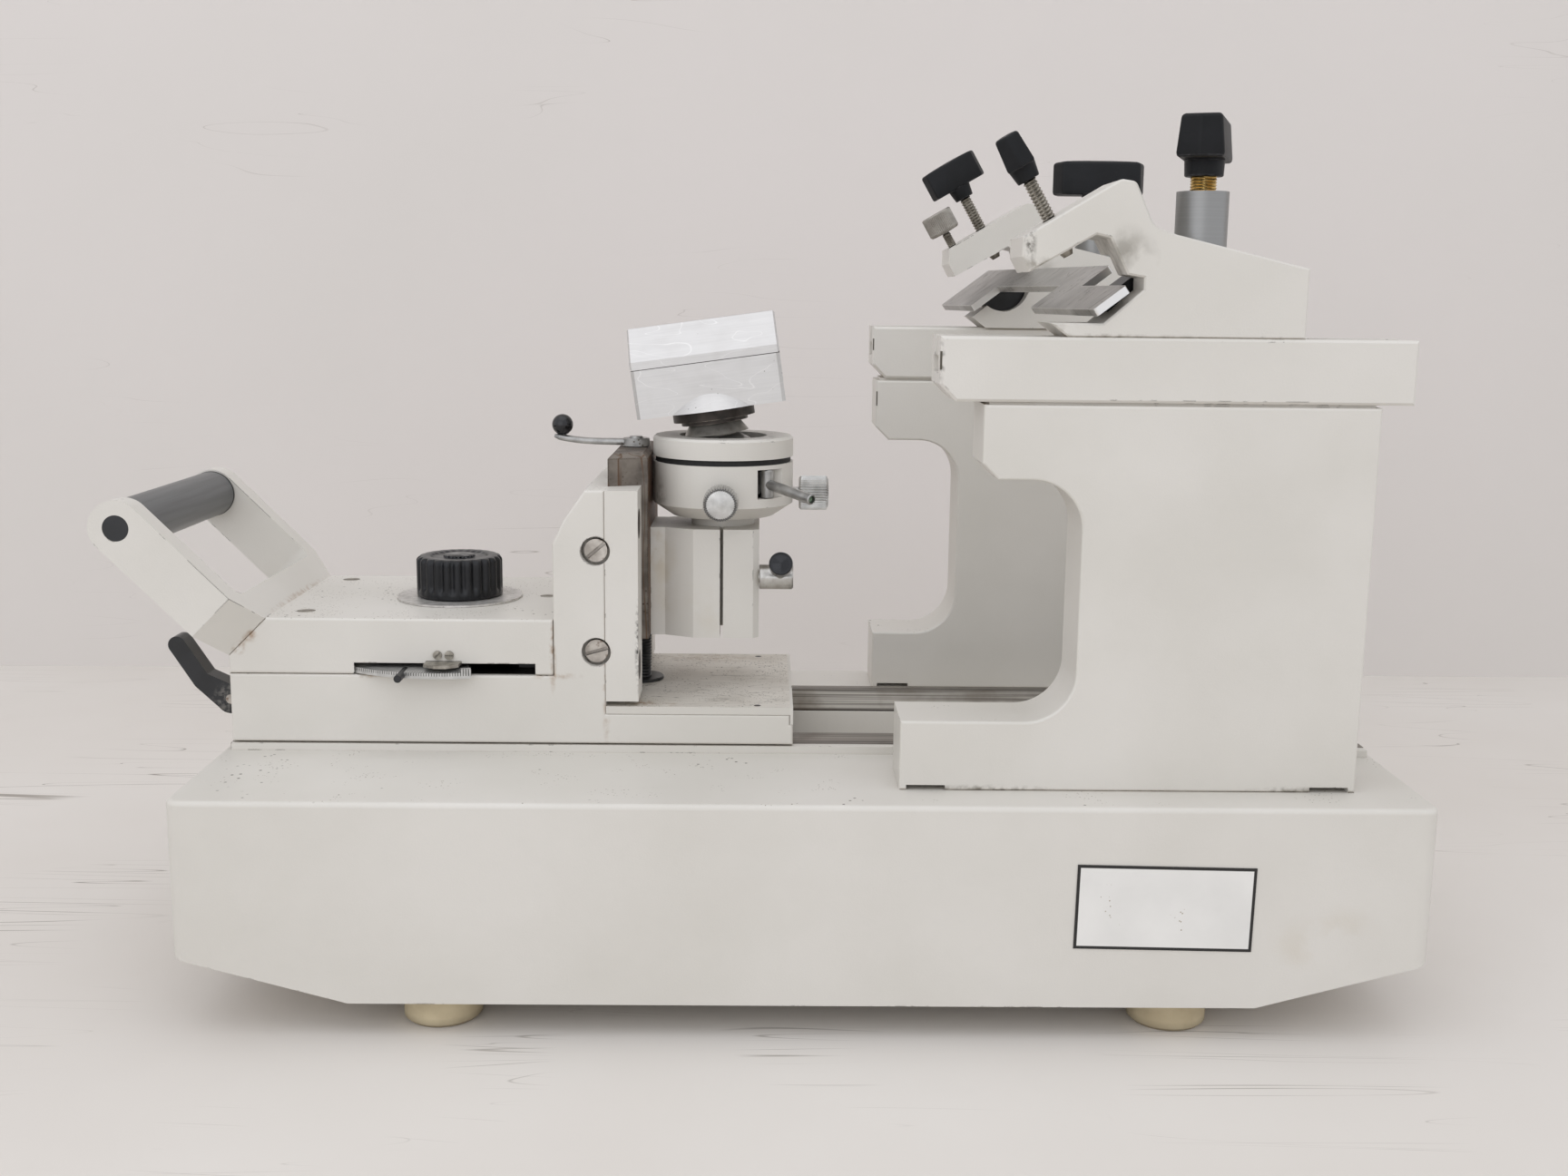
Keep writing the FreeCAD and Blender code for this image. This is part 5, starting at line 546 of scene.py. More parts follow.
# Dial and thickness ring: turned steel discs. The dial under the knob is plain and worn to a patchy
# grey, the ring's rim is divided by fine dark lines a degree apart, and its pin is a black stud.
DIAL, t, shader, place = start_material("worn_turned_steel_dial", 0.42, 0.6)
colour = two_tones(t, place, "#BAB7B2", "#D8D5D1", 210.0, 6.0)
colour = tinted(t, colour, specks(t, place, 500.0, 0.22, 0.5), "#56514A")
dress(DIAL, colour, "feed_dial")
RING, t, shader, place = start_material("divided_turned_steel_ring", 0.36, 0.6)
colour = two_tones(t, place, "#B4B3B0", "#D0CFCC", 160.0, 5.0)
flat = add(t, "ShaderNodeVectorMath", {0: place, 1: tuple(-at(-218.5, 178.75, 0))}, operation="ADD").outputs[0]
spot = add(t, "ShaderNodeSeparateXYZ", {"Vector": flat})
angle = add(t, "ShaderNodeMath", {0: spot.outputs["Y"], 1: spot.outputs["X"]}, operation="ARCTAN2").outputs[0]
turns = add(t, "ShaderNodeMath", {0: angle, 1: 180 / math.pi}, operation="MULTIPLY").outputs[0]
step = add(t, "ShaderNodeMath", {0: turns, 1: 0.5}, operation="PINGPONG").outputs[0]
line = add(t, "ShaderNodeMapRange", {"Value": step, "From Min": 0.16, "From Max": 0.1}).outputs[0]
out = add(t, "ShaderNodeVectorMath", {0: add(t, "ShaderNodeCombineXYZ", {
    "X": spot.outputs["X"], "Y": spot.outputs["Y"]}).outputs[0]}, operation="LENGTH").outputs["Value"]
rim = add(t, "ShaderNodeMapRange", {"Value": out, "From Min": 0.0852, "From Max": 0.0854}).outputs[0]
band_foot = 0.0496
high_part = add(t, "ShaderNodeMapRange", {"Value": spot.outputs["Z"], "From Min": band_foot,
                                          "From Max": band_foot + 0.0001}).outputs[0]
dress(RING, tinted(t, colour, times(t, times(t, line, rim), high_part), "#2B2A28"), "thickness_ring")
dress(BLACK, None, "ring_pin")

# Lift spindle: a blackened steel screw with a coarse thread that raises the slide, in a thin collar on
# the platform. It looks dark grey and greasy, with light along the crests of its thread.
THREAD, t, shader, place = start_material("blackened_threaded_steel", 0.38, 0.7)
dress(THREAD, two_tones(t, place, "#2B2C2D", "#4A4B4B", 120.0, 4.0))


def thread(pitch, deep, low, high):
    """A screw thread's relief: a triangle wave of along / pitch less the share of a turn, between two ends."""
    def relief(angle, along):
        wave = np.abs(2 * ((along / pitch - angle / (2 * np.pi)) % 1.0) - 1)
        fade = np.clip((along - low) / pitch, 0, 1) * np.clip((high - along) / pitch, 0, 1)
        return deep * wave * fade
    return relief


spindle_radius, spindle_pitch, spindle_deep, spindle_long = 7.2, 2.0, 0.75, 65.9
low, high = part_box("lift_spindle")
foot = np.array(((low.x + high.x) / 2, (low.y + high.y) / 2, low.z))
rise = np.arange(0, spindle_long, spindle_pitch / 6)
screw = turned_grid([0, *rise, spindle_long, spindle_long],
                    [0, *np.full(len(rise), spindle_radius), spindle_radius, 0],
                    foot, (0, 0, 1), (1, 0, 0), 40, thread(spindle_pitch, spindle_deep, 17, spindle_long))
collar_foot, collar_radius, collar_tall = 16.6, 15.0, 2.0
collar = turned_grid(np.array([0, 0, 0.3, collar_tall - 0.5, collar_tall, collar_tall, 0]) + collar_foot,
                     [spindle_radius, collar_radius - 0.3, collar_radius, collar_radius, collar_radius - 0.5,
                      spindle_radius, spindle_radius], foot, (0, 0, 1), (1, 0, 0), 72)
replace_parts(shell("lift_screw", THREAD, "lift_spindle", "black_steel", screw, collar), "lift_spindle")

# Lift slide: a ground steel dovetail between the gibs, dull and brown with rust except where the gibs
# rub it, and darker at its edges.
RUSTY, t, shader, place = start_material("rusted_ground_steel", 0.55, 0.45)
colour = two_tones(t, place, "#59524B", "#7D756C", 75.0, 8.0, 0.38, 0.62)
colour = tinted(t, colour, specks(t, place, 380.0, 0.3, 0.5), "#3A2C22")
colour = tinted(t, colour, worn_edge(t, place, 0.0015, 110.0, 0.12, 0.3), "#3A2E26")
streak = scratches(t, place, 9.0, (8.0, 8.0, 1.0), 0.0, 0.02)
colour = tinted(t, colour, streak, "#5B4330")
rust_side = two_tones(t, place, "#3B2C20", "#6B4C33", 160.0, 6.0)
dress(RUSTY, tinted(t, colour, facing(t, "X", 0.6, 0.9), rust_side), "lift_slide")

# Clamp block: an enamelled casting on the slide, split at the front, that grips the head's stem. Its
# left side is yellowed and stained where cutting fluid has run down.
CLAMP_ENAMEL, t, shader, place, colour = white_enamel("white_enamel_clamp", 0.6)
for centre, reach, grain, strength, tone in (
        (at(-91, 150, 118), (8, 16, 16), 120.0, 0.75, "#A8905C"),
        (at(-86, 150, 98), (11, 16, 34), 45.0, 0.4, "#B8A67E"),
        (at(-62, 145, 80), (18, 10, 20), 40.0, 0.22, "#B8A67E")):
    colour = tinted(t, colour, stain(t, place, centre, reach, grain, strength), tone)
dress(CLAMP_ENAMEL, colour, "clamp_block")

# Clamp bolt: a polished steel bolt head at the block's right, crossed by a short tommy bar whose end
# carries a black turned cap with a shallow faceted face.
BRIGHT, t, shader, place = start_material("bright_turned_steel", 0.26, 0.9)
colour = two_tones(t, place, "#A9A6A1", "#CBC9C5", 130.0, 5.0)
dress(BRIGHT, tinted(t, colour, specks(t, place, 420.0, 0.2, 0.56), "#6E675E"))
start, bar_lean = at(-26.9, 152.3, 100.6), math.radians(23)
bar_way, bar_out, bolt_long = (0, -math.cos(bar_lean), math.sin(bar_lean)), (1, 0, 0), 21.2
head = turned_grid([-1, -1, 0.3, 0.3, 0.9, bolt_long - 0.6, bolt_long + 0.3, bolt_long + 0.3],
                   [0, 4.0, 4.0, 7.3, 7.8, 7.8, 7.0, 0], start, (1, 0, 0), (0, 0, 1), 72)
bar_start = start + np.array((0.0135, 0, 0))
bar = turned_grid([0, 0, 28.5, 28.5], [0, 3.0, 3.0, 0], bar_start, bar_way, bar_out, 32)
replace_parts(shell("clamp_bolt_head", BRIGHT, "clamp_bolt", "satin_steel", head, bar), "clamp_bolt")
CAP, t, shader, place = start_material("black_faceted_cap", 0.18, 0.3)
dress(CAP, two_tones(t, place, "#18191C", "#222327", 200.0))
cap_foot = bar_start + np.array(bar_way) * 0.028
cap = turned_grid([0, 0, 0.6, 6.8, 7.4, 7.4, 6.9, 6.9], [0, 6.6, 7.2, 7.2, 6.7, 6.2, 6.1, 0],
                  cap_foot, bar_way, bar_out, 64)
facets = turned_grid([6.7, 6.8, 7.7, 7.7], [0, 6.0, 0.4, 0], cap_foot, bar_way, bar_out, 8)
shell("tommy_bar_cap", CAP, "clamp_bolt", "black_plastic", cap, facets, sharp=5.0)

# Slide lock lever: a bent steel lever that turns on the slide's top, nickel-plated and dulled, with a
# black ball pressed on its raised end.
NICKEL, t, shader, place = start_material("dulled_nickel_plate", 0.34, 0.85)
colour = two_tones(t, place, "#8F8E8C", "#B4B3B0", 110.0, 5.0)
dress(NICKEL, tinted(t, colour, specks(t, place, 360.0, 0.24, 0.55), "#5B544B"))


def swept_grid(route, wide, thick, up, steps=10, around=24, power=3.2):
    """A bar carried along a Catmull-Rom curve through a route: its section is a squared oval, half the
    width times cos to a power across, and half the thickness times sin to a power upward. Millimetres."""
    route, last = np.array(route, float), len(route) - 1
    share = np.linspace(0, last, last * steps + 1)
    span = np.minimum(share.astype(int), last - 1)
    ends = np.concatenate([2 * route[:1] - route[1:2], route, 2 * route[-1:] - route[-2:-1]])
    p = [ends[span + k] for k in range(4)]
    u = (share - span)[:, None]
    line = 0.5 * (2 * p[1] + (p[2] - p[0]) * u + (2 * p[0] - 5 * p[1] + 4 * p[2] - p[3]) * u ** 2
                  + (3 * p[1] - p[0] - 3 * p[2] + p[3]) * u ** 3)
    ahead = np.gradient(line, axis=0)
    ahead /= np.linalg.norm(ahead, axis=1, keepdims=True)
    across = np.cross(ahead, np.array(up, float))
    across /= np.linalg.norm(across, axis=1, keepdims=True)
    over = np.cross(across, ahead)
    half_wide = np.interp(share, np.arange(last + 1), wide)[:, None, None] / 2
    half_thick = np.interp(share, np.arange(last + 1), thick)[:, None, None] / 2
    angle = np.linspace(0, 2 * np.pi, around, endpoint=False)
    flat, tall = [(np.sign(f) * np.abs(f) ** (2 / power))[None, :, None]
                  for f in (np.cos(angle), np.sin(angle))]
    body = line[:, None] + half_wide * flat * across[:, None] + half_thick * tall * over[:, None]
    caps = [np.repeat(line[k][None, None], around, 1) for k in (0, -1)]
    return np.concatenate([caps[0], body, caps[1]]) / 1000


lock = at(-105, 178.75, 179.1)
arm = lock + swept_grid([(2, 0, 2.9), (-14, 0, 2.9), (-30, 0, 3.2), (-41, 0, 4.3), (-48, 0, 5.6),
                         (-51.5, 0, 6.2)], [8.6, 8.0, 7.6, 8.0, 8.8, 4.0],
                        [4.4, 4.2, 4.0, 4.0, 4.0, 2.0], (0, 0, 1))
hub = turned_grid([0, 0, 0.5, 4.9, 5.4, 5.4, 5.7, 6.5, 6.5], [0, 8.0, 8.5, 8.5, 8.0, 4.4, 4.4, 3.9, 0],
                  lock, (0, 0, 1), (1, 0, 0), 48)
neck = turned_grid([0, 0, 5, 5], [0, 2.6, 2.2, 0], lock + np.array((-0.0464, 0, 0.0045)), (0, 0, 1),
                   (1, 0, 0), 24)
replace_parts(shell("bent_lock_lever", NICKEL, "slide_lock", "satin_steel", arm, hub, neck), "slide_lock_lever")
BALL, t, shader, place = start_material("black_phenolic_ball", 0.12)
dress(BALL, two_tones(t, place, "#101012", "#17171A", 90.0), "slide_lock_ball")

# Swivel head: an enamelled drum with its stem, a black rubber gasket and a dished cover. A steel ball
# in a gimbal ring lies under the cover's mouth.
HEAD_ENAMEL, t, shader, place, colour = white_enamel("white_enamel_head", 0.58)
# The cover's top is darkened round its mouth, under the flange: painted shade.
worn = stain(t, place, at(-50, 178.75, 187), (30, 30, 6), 90.0, 0.5)
colour = tinted(t, colour, worn, "#9D9586")
colour = tinted(t, colour, stain(t, place, at(-88, 160, 150), (7, 14, 14), 260.0, 0.6), "#5E5646")
dress(HEAD_ENAMEL, colour, "head_drum", "head_cover")
GASKET, t, shader, place = start_material("black_sheet_rubber", 0.7)
dress(GASKET, two_tones(t, place, "#131313", "#1D1C1B", 300.0), "head_gasket")
dress(NICKEL, None, "swivel_ball", "gimbal_ring")

# Head lock rod: a steel rod through the drum's notch, greyed by handling. Its end is drilled out, and
# old green wax is left in the hole.
low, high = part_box("head_lock_lever")
rod_turn, rod_dip, rod_long, rod_radius = math.radians(-52.4), math.radians(7), 44.0, 3.2
way = (math.cos(rod_turn) * math.cos(rod_dip), math.sin(rod_turn) * math.cos(rod_dip), -math.sin(rod_dip))
out = (-math.sin(rod_turn), math.cos(rod_turn), 0)
start = at(-22, 148.5, 159.4)
rod = turned_grid([-2, -2, rod_long - 0.7, rod_long, rod_long, rod_long - 5, rod_long - 5],
                  [0, rod_radius, rod_radius, rod_radius - 0.5, 2.3, 2.3, 0], start, way, out, 40)
hub = turned_grid([-8.7, -8.7, -8.2, 8.2, 8.7, 8.7], [0, 3.6, 4.0, 4.0, 3.6, 0], start, (0, 0, 1),
                  (1, 0, 0), 40)
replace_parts(shell("head_lock_rod", NICKEL, "head_lock", "satin_steel", rod, hub), "head_lock_lever")
WAX, t, shader, place = start_material("green_wax_residue", 0.4)
dress(WAX, two_tones(t, place, "#3F5A46", "#7C8F78", 400.0, 5.0))
plug = turned_grid([-4.9, -4.9, -2.2, -1.6, -1.9], [0, 2.2, 2.2, 1.6, 0],
                   start + np.array(way) * rod_long / 1000, way, out, 32)
shell("lock_rod_wax", WAX, "head_lock", "satin_steel", plug)

# Tilt screws: two turned steel knobs on the drum with a straight coarse knurl and a smooth cap. The
# cap is satin and pale, and the knurl's teeth catch the light one by one, with painted shade between them.
KNURLED, t, shader, place = start_material("satin_knurled_steel", 0.3, 0.85)
colour = two_tones(t, place, "#B1B0AD", "#CFCECB", 140.0, 4.0)
# The grooves between the teeth are darkened by ambient occlusion: painted shade.
dress(KNURLED, tinted(t, colour, occlusion_shade(t, 0.0012, 0.8, 0.45, 0.8), "#3A3733"))
tooth_count, tooth_deep = 40, 0.85


def knurl(count, deep, low, high):
    """Straight teeth between two ends: a rounded wave of the angle, faded in over half a millimetre."""
    def relief(angle, along):
        fade = np.clip((along - low) / 0.5, 0, 1) * np.clip((high - along) / 0.5, 0, 1)
        return deep * fade * np.abs(np.sin(count * angle / 2)) ** 0.8
    return relief


axis_at = at(-50, 178.75, 150.5)
for name, way, out in (("front_tilt", (0, -1, 0), (1, 0, 0)), ("side_tilt", (1, 0, 0), (0, 1, 0))):
    knob = turned_grid([39, 39, 44.6, 44.6, 48.2, 48.2, 48.7, 49.6, 50.2, 57, 64.6, 65.4, 66.0, 65.3, 65.3,
                        66.4, 66.7, 66.7],
                       [0, 3, 3, 3.8, 3.8, 9.4, 10.0, 10.8, 10.8, 10.8, 10.8, 10.8, 10.3, 10.0, 9.3,
                        9.2, 8.8, 0],
                       axis_at, way, out, tooth_count * 8, knurl(tooth_count, tooth_deep, 48.6, 67.2))
    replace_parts(shell(name + "_knob", KNURLED, name, "satin_steel", knob, sharp=50.0), name + "_screw")

# Vise flange: stacked black-oxide tiers between the ball's neck and the vise, worn brown on the rims,
# over a neck that shows bare steel.
jaw_lean, pivot = math.radians(8), at(-50, 178.75, 157)


def jaw_height(tree, place):
    """The height above the tilt pivot along the leaned axis of the vise, in metres."""
    from_pivot = add(tree, "ShaderNodeVectorMath", {0: place, 1: tuple(-pivot)}, operation="ADD").outputs[0]
    return add(tree, "ShaderNodeVectorMath", {0: from_pivot, 1: (-math.sin(jaw_lean), 0, math.cos(jaw_lean))},
               operation="DOT_PRODUCT").outputs["Value"]


OXIDE, t, shader, place = start_material("worn_black_oxide", 0.4, 0.6)
colour = two_tones(t, place, "#2A2623", "#433C37", 120.0, 6.0)
colour = tinted(t, colour, worn_edge(t, place, 0.0009, 180.0, 0.16, 0.3), "#8E867B")
neck_top = 0.0384
bare = add(t, "ShaderNodeMapRange", {"Value": jaw_height(t, place), "From Min": neck_top,
                                     "From Max": neck_top - 0.0006}).outputs[0]
dress(OXIDE, tinted(t, colour, bare, two_tones(t, place, "#8E8A83", "#B3AFA8", 150.0, 5.0)), "vise_flange")

# Specimen vise: an aluminium block with a conical boss below and two sloped jaws, milled and brushed
# along its length. The slopes are bright, the flanks are dull and mottled with fine scratches.
ALUMINIUM, t, shader, place = start_material("brushed_aluminium", 0.42, 0.8)
lean = add(t, "ShaderNodeMapping", {"Vector": place, "Rotation": (0, jaw_lean, 0)}).outputs[0]
colour = two_tones(t, lean, "#CBC9C7", "#D2D0CE", 1.0, 4.0, 0.3, 0.7, (25, 800, 800))
colour = tinted(t, colour, two_tones(t, place, "#000000", "#AAAAAA", 55.0, 6.0, 0.5, 0.75), "#BFBCB9")
colour = tinted(t, colour, scratches(t, place, 24.0, (1.0, 1.0, 3.0), 0.7, 0.006), "#DDDBD9")
colour = tinted(t, colour, specks(t, place, 260.0, 0.12, 0.58), "#77736D")
seat_rise, seam_wide = 0.0774, 0.0003
off = add(t, "ShaderNodeMath", {0: jaw_height(t, place), 1: seat_rise}, operation="SUBTRACT").outputs[0]
far = add(t, "ShaderNodeMath", {0: off}, operation="ABSOLUTE").outputs[0]
seam = add(t, "ShaderNodeMapRange", {"Value": far, "From Min": seam_wide, "From Max": seam_wide / 2}).outputs[0]
dress(ALUMINIUM, tinted(t, colour, seam, "#4A4743"), "vise_body", "rear_jaw", "front_jaw")

# Jaw screw: a blackened socket screw at the vise's rear that draws the front jaw.
dress(THREAD, None, "jaw_screw")

# Knife blocks: two enamelled castings that stand on the rails, each with an arm over the knife. The
# throats are smeared grey-brown by old oil, and the arms' edges are chipped to the primer.
BLOCK_ENAMEL, t, shader, place, colour = white_enamel("white_enamel_knife_blocks", 0.6)
for centre, reach, grain, strength, tone in (
        (at(168, 56, 298), (24, 42, 20), 70.0, 1.0, "#5F5748"),
        (at(157, 298, 298), (24, 42, 20), 70.0, 0.9, "#5F5748"),
        (at(126, 33, 261), (20, 12, 14), 90.0, 0.9, "#6F6656"),
        (at(150, 33, 253.5), (90, 8, 2.5), 200.0, 0.7, "#6F6656"),
        (at(117, 33, 303), (4, 6, 16), 330.0, 0.9, "#4A443B"),
        (at(122, 33, 292), (14, 7, 5), 240.0, 0.6, "#6F6656")):
    colour = tinted(t, colour, stain(t, place, centre, reach, grain, strength), tone)
dress(BLOCK_ENAMEL, colour, "near_knife_block", "far_knife_block")

# Clamp sleeves: two plain steel sleeves, turned and satin chrome plated, cool grey with faint rings.
SLEEVE, t, shader, place = start_material("satin_chrome_sleeve", 0.36, 0.8)
colour = two_tones(t, place, "#8F8F8E", "#939392", 1.0, 3.0, 0.35, 0.65, (8, 8, 900))
dress(SLEEVE, tinted(t, colour, specks(t, place, 300.0, 0.14, 0.58), "#7B7974"), "clamp_sleeves")

# Clamp spindles: brass screws with a T-nut in the rail's slot. Only a bright threaded neck shows
# between each sleeve and its knob.
BRASS, t, shader, place = start_material("turned_brass", 0.24, 0.95)
dress(BRASS, two_tones(t, place, "#BF9A55", "#DDBE7C", 160.0, 4.0))
RAIL_TOP, NEAR_X, NEAR_Y, FAR_X, FAR_Y = 253.5, 213.3, 54.0, 204.5, 300.0
NEAR_FOOT, FAR_FOOT = 86.3, 81.5
brass_radius, nut_foot, end_gap = 7.2, 234.2, 0.06
spindles = []
for x, y, knob_foot in ((NEAR_X, NEAR_Y, RAIL_TOP + NEAR_FOOT), (FAR_X, FAR_Y, RAIL_TOP + FAR_FOOT)):
    neck_end = knob_foot - end_gap
    rise = np.arange(nut_foot, neck_end, 0.25)
    spindles.append(turned_grid([nut_foot, *rise, neck_end, neck_end],
                                [0, *np.full(len(rise), brass_radius), brass_radius, 0], at(x, y, 0), (0, 0, 1),
                                (1, 0, 0), 48, thread(1.5, 0.6, RAIL_TOP + 76, knob_foot + 2)))
    nut_long, nut_wide, nut_tall = 26.0, 22.6, 7.6
    outline = np.array([(1, 1), (-1, 1), (-1, -1), (1, -1)]) * (nut_long / 2, nut_wide / 2)
    outline = np.stack([outline * share for share in (0, 0.96, 1, 1, 0.96, 0)])
    tall = np.broadcast_to(np.array([0, 0, 0.5, nut_tall - 0.5, nut_tall, nut_tall])[:, None], (6, 4))
    spindles.append(at(x, y, nut_foot) + np.concatenate([outline, tall[..., None]], -1) / 1000)
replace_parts(shell("brass_spindles", BRASS, "knife_carriage", "brass", *spindles), "clamp_spindles")

# Wing knobs: two large black moulded knobs that clamp the blocks, and two small ones on the knife
# screws. Each has a wing with prow-shaped ends over a round hub, matt, with rims rubbed a little grey.
WING, t, shader, place = start_material("black_moulded_wing", 0.48)
shader.inputs["IOR"].default_value = 1.32
colour = two_tones(t, place, "#0E0F11", "#17181B", 45.0, 5.0)
colour = tinted(t, colour, worn_edge(t, place, 0.0009, 220.0, 0.24, 0.36), "#5A5A5C")
dress(WING, colour)
grainy(t, shader, place, 1100.0, 0.25, 0.0003)


def rounded(corners, radius, steps=6):
    """A closed outline whose corners are eased: a quadratic curve from short of each corner to past it."""
    corners = np.array(corners, float)
    back, on = np.roll(corners, 1, 0) - corners, np.roll(corners, -1, 0) - corners
    first = corners + back / np.linalg.norm(back, axis=1, keepdims=True) * radius
    last = corners + on / np.linalg.norm(on, axis=1, keepdims=True) * radius
    u = np.linspace(0, 1, steps)[None, :, None]
    bow = (1 - u) ** 2 * first[:, None] + 2 * u * (1 - u) * corners[:, None] + u ** 2 * last[:, None]
    return bow.reshape(-1, 2)


def wing_grid(half_long, half_thick, tall, crown, prow, draft, edge, start, along, across, up):
    """A wing: a rounded hexagon with prow ends, carried upward, drawn in by the draft and eased at both
    rims, and lowered toward its ends by crown times the square of the share along. Millimetres."""
    x, y, k = half_long, half_thick, prow
    plan = rounded([(k - x, -y), (x - k, -y), (x, 0), (x - k, y), (k - x, y), (-x, 0)], edge * 0.7)
    rise = np.array([0, 0, 0, 0.3, 1, tall / edge / 2, tall / edge - 1, tall / edge - 0.55, tall / edge - 0.2,
                     *np.full(5, tall / edge)]) * edge
    inset = np.array([1, 1, 0.6, 0.2, 0, 0, 0, 0.08, 0.35, 0.75, 1, 1, 1, 1]) * edge
    share = np.array([0, 0.6, 1, 1, 1, 1, 1, 1, 1, 1, 1, 0.8, 0.4, 0])
    thick = 1 - inset / y - draft / y * rise / tall
    wide = plan[None] * np.stack([share * (1 - inset / x), share * thick], -1)[:, None]
    fall = crown * (wide[..., 0] / x) ** 2 * (rise / tall)[:, None]
    frame_ways = np.array((along, across, up), float)
    return np.array(start) + np.concatenate([wide, (rise[:, None] - fall)[..., None]], -1) @ frame_ways / 1000


def hub_grid(radius, foot_radius, tall, start, up, out):
    """A hub below a wing: a turned stub that tapers to its foot, with eased rims."""
    return turned_grid([0, 0, 0.5, tall - 0.2, tall + 0.5, tall + 0.5],
                       [0, foot_radius - 0.5, foot_radius, radius, radius, 0], start, up, out, 48)


hub_tall = 8.8
for name, x, y, foot, turn in (("near_clamp", NEAR_X, NEAR_Y, NEAR_FOOT, 70.0),
                               ("far_clamp", FAR_X, FAR_Y, FAR_FOOT, 0.0)):
    turn = math.radians(turn)
    ways = ((math.cos(turn), math.sin(turn), 0), (-math.sin(turn), math.cos(turn), 0), (0, 0, 1))
    wing = wing_grid(31.5, 12.8, 23.4, 1.8, 5.0, 2.2, 2.4, at(x, y, RAIL_TOP + foot + hub_tall), *ways)
    hub = hub_grid(10.8, 10.4, hub_tall, at(x, y, RAIL_TOP + foot), (0, 0, 1), (1, 0, 0))
    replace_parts(shell(name + "_wing", WING, name, "black_plastic", wing, hub, sharp=28.0), name + "_knob")

# Knife screws: threaded steel rods that lean left through the arms and press the knife on the tray,
# with painted shade between the threads, and with the small wing knobs on top.
KNIFE_THREAD, t, shader, place = start_material("threaded_steel_shaded_grooves", 0.34, 0.7)
colour = two_tones(t, place, "#7D776D", "#A8A297", 150.0, 5.0)
# The thread's grooves are darkened by ambient occlusion: painted shade.
dress(KNIFE_THREAD, tinted(t, colour, occlusion_shade(t, 0.0014, 0.85, 0.55, 0.95), "#1F1B17"))
screw_lean = math.radians(30)
screw_up = (-math.sin(screw_lean), 0, math.cos(screw_lean))
screw_out = (math.cos(screw_lean), 0, math.sin(screw_lean))
rod_radius, rod_pitch, rod_deep, tip_long, up_long, down_long = 4.0, 2.0, 0.95, 3.0, 23.5, 22.8
for name, foot, turn in (("near_knife_screw", at(130.3, 56, 316.8), 80.0),
                         ("far_knife_screw", at(124.2, 298, 320.7), 0.0)):
    rise = np.arange(tip_long - down_long, up_long, rod_pitch / 6)
    rod = turned_grid([-down_long, -down_long, *rise, up_long, up_long],
                      [0, 2.7, *np.full(len(rise), rod_radius), rod_radius, 0], foot, screw_up, screw_out, 36,
                      thread(rod_pitch, rod_deep, tip_long - down_long, up_long + 2))
    shell(name + "_rod", KNIFE_THREAD, name, "satin_steel", rod)
    turn = math.radians(turn)
    along = math.cos(turn) * np.array(screw_out) + math.sin(turn) * np.array((0, 1, 0))
    hub_start = foot + np.array(screw_up) * up_long / 1000
    wing = wing_grid(20.0, 8.0, 19.1, 1.0, 3.0, 1.4, 1.6, hub_start + np.array(screw_up) * 0.008, along,
                     np.cross(screw_up, along), screw_up)
    hub = hub_grid(7.6, 6.4, 8.0, hub_start, screw_up, screw_out)
    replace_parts(shell(name + "_wing", WING, name, "black_plastic", wing, hub, sharp=28.0), name)

# Thumb screw: a small steel screw at the far arm's tip with a finely knurled head, dull, with painted shade
# between its teeth.
DULL_KNURL, t, shader, place = start_material("dull_knurled_steel", 0.4, 0.75)
colour = two_tones(t, place, "#8E8982", "#A9A49C", 140.0, 5.0)
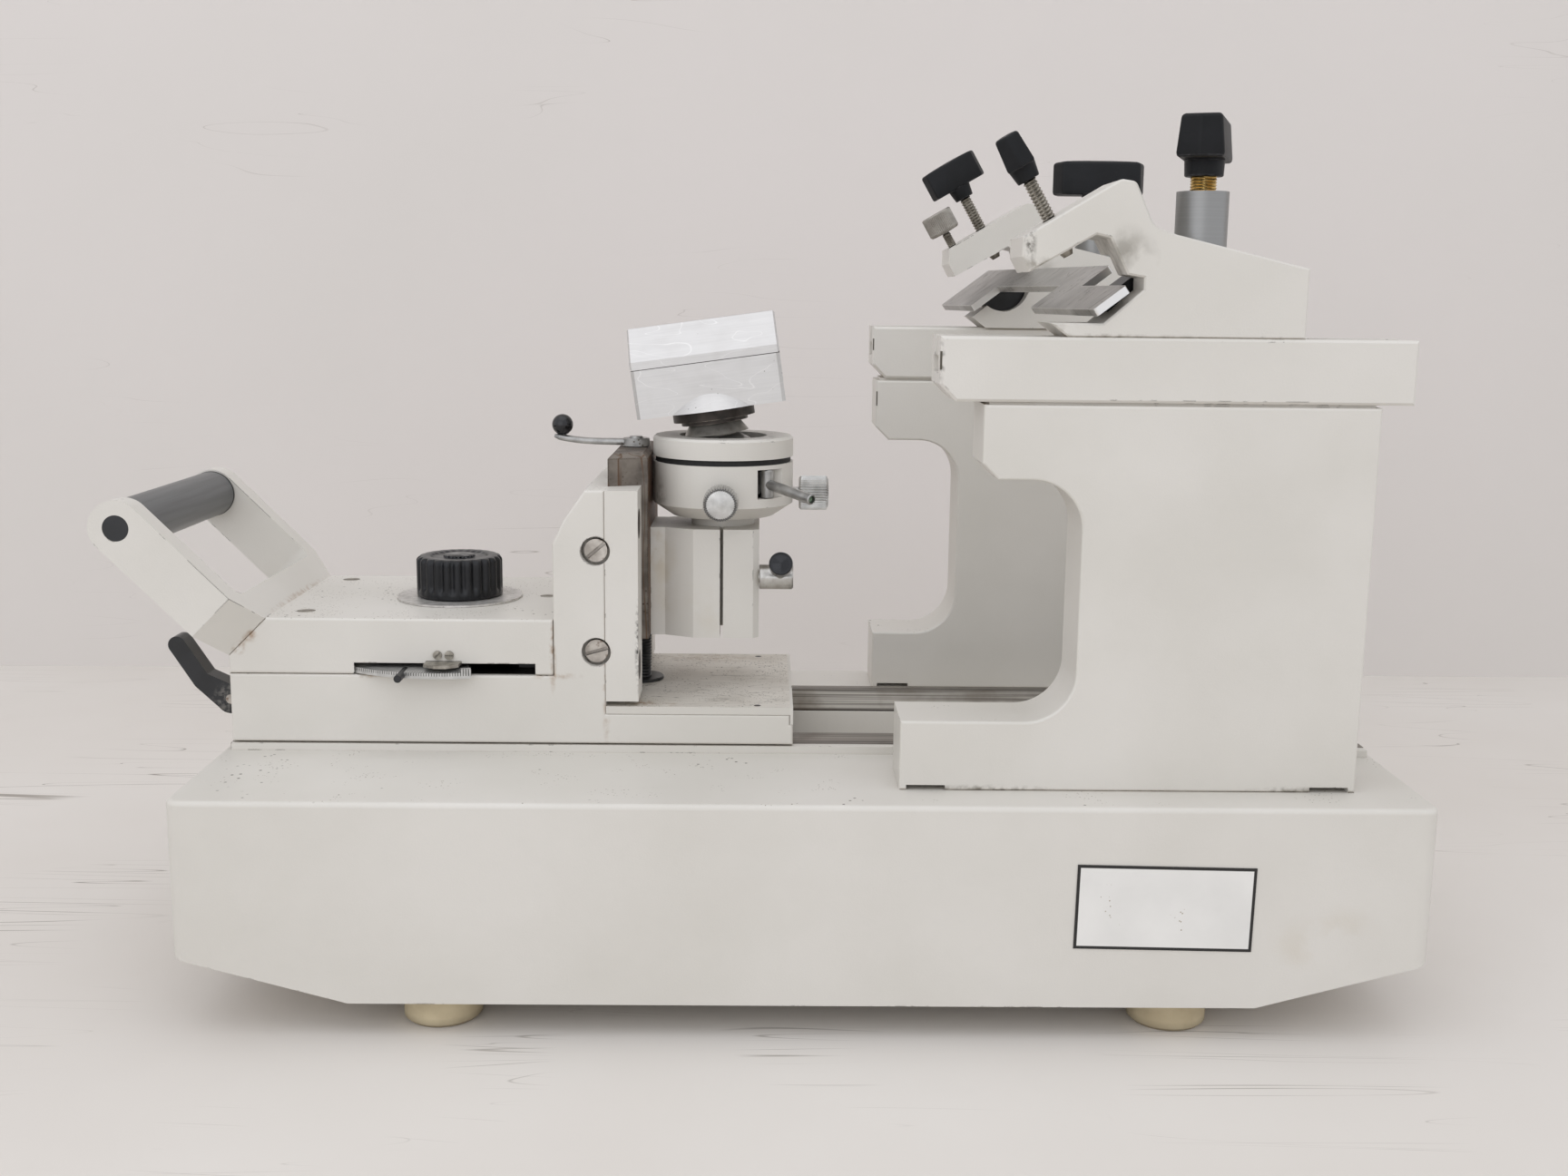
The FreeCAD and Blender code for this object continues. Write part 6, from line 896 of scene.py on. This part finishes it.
# The knurl's grooves are darkened by ambient occlusion: painted shade.
dress(DULL_KNURL, tinted(t, colour, occlusion_shade(t, 0.0008, 0.8, 0.4, 0.7), "#4A433B"))
thumb, thumb_teeth = at(103.4, 290, 309.7), 54
head = turned_grid([8.6, 8.6, 9.0, 10.4, 11.0, 22.0, 22.6, 23.4, 23.4, 23.0, 23.0],
                   [0, 4.0, 9.4, 10.6, 10.6, 10.6, 10.6, 9.8, 8.6, 8.2, 0], thumb, screw_up, screw_out,
                   thumb_teeth * 6, knurl(thumb_teeth, 0.42, 10.0, 23.0))
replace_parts(shell("knurled_thumb_head", DULL_KNURL, "thumb_screw", "satin_steel", head, sharp=50.0),
            "thumb_screw")
rise = np.arange(-18.5, 7.5, 0.2)
bolt = turned_grid([-19.5, -19.5, *rise, 8.0, 9.2, 9.2], [0, 2.2, *np.full(len(rise), 3.0), 2.4, 2.4, 0], thumb,
                   screw_up, screw_out, 32, thread(1.2, 0.45, -18.5, 7.5))
shell("thumb_screw_rod", KNIFE_THREAD, "thumb_screw", "satin_steel", bolt)

# Knife tray and its rockers: one bent steel plate with ground edges, satin and scratched on its faces,
# carried on two black half-round rockers that sit in the blocks. The ground edges and the plate's
# front faces are painted lighter: a painted highlight for the sheen of the ground edges.
TRAY, t, shader, place = start_material("scratched_ground_steel", 0.3, 0.85)
colour = two_tones(t, place, "#9A9895", "#B0AEAB", 60.0, 6.0)
colour = tinted(t, colour, scratches(t, place, 22.0, (1.0, 5.0, 1.0), 0.3, 0.012), "#5A564F")
colour = tinted(t, colour, specks(t, place, 300.0, 0.2, 0.54), "#4E483F")
# Edges found by the bevel mask and faces turned to the front are lightened: painted highlight.
colour = tinted(t, colour, worn_edge(t, place, 0.0010, 60.0, 0.02, 0.12), "#D2D1CE")
dress(TRAY, tinted(t, colour, facing(t, "Y", -0.5, -0.8), "#E4E3E1"), "knife_tray")
ROCKER, t, shader, place = start_material("oiled_black_oxide", 0.3, 0.2)
dress(ROCKER, two_tones(t, place, "#0F1012", "#1A1C1F", 110.0, 5.0), "tray_rockers")
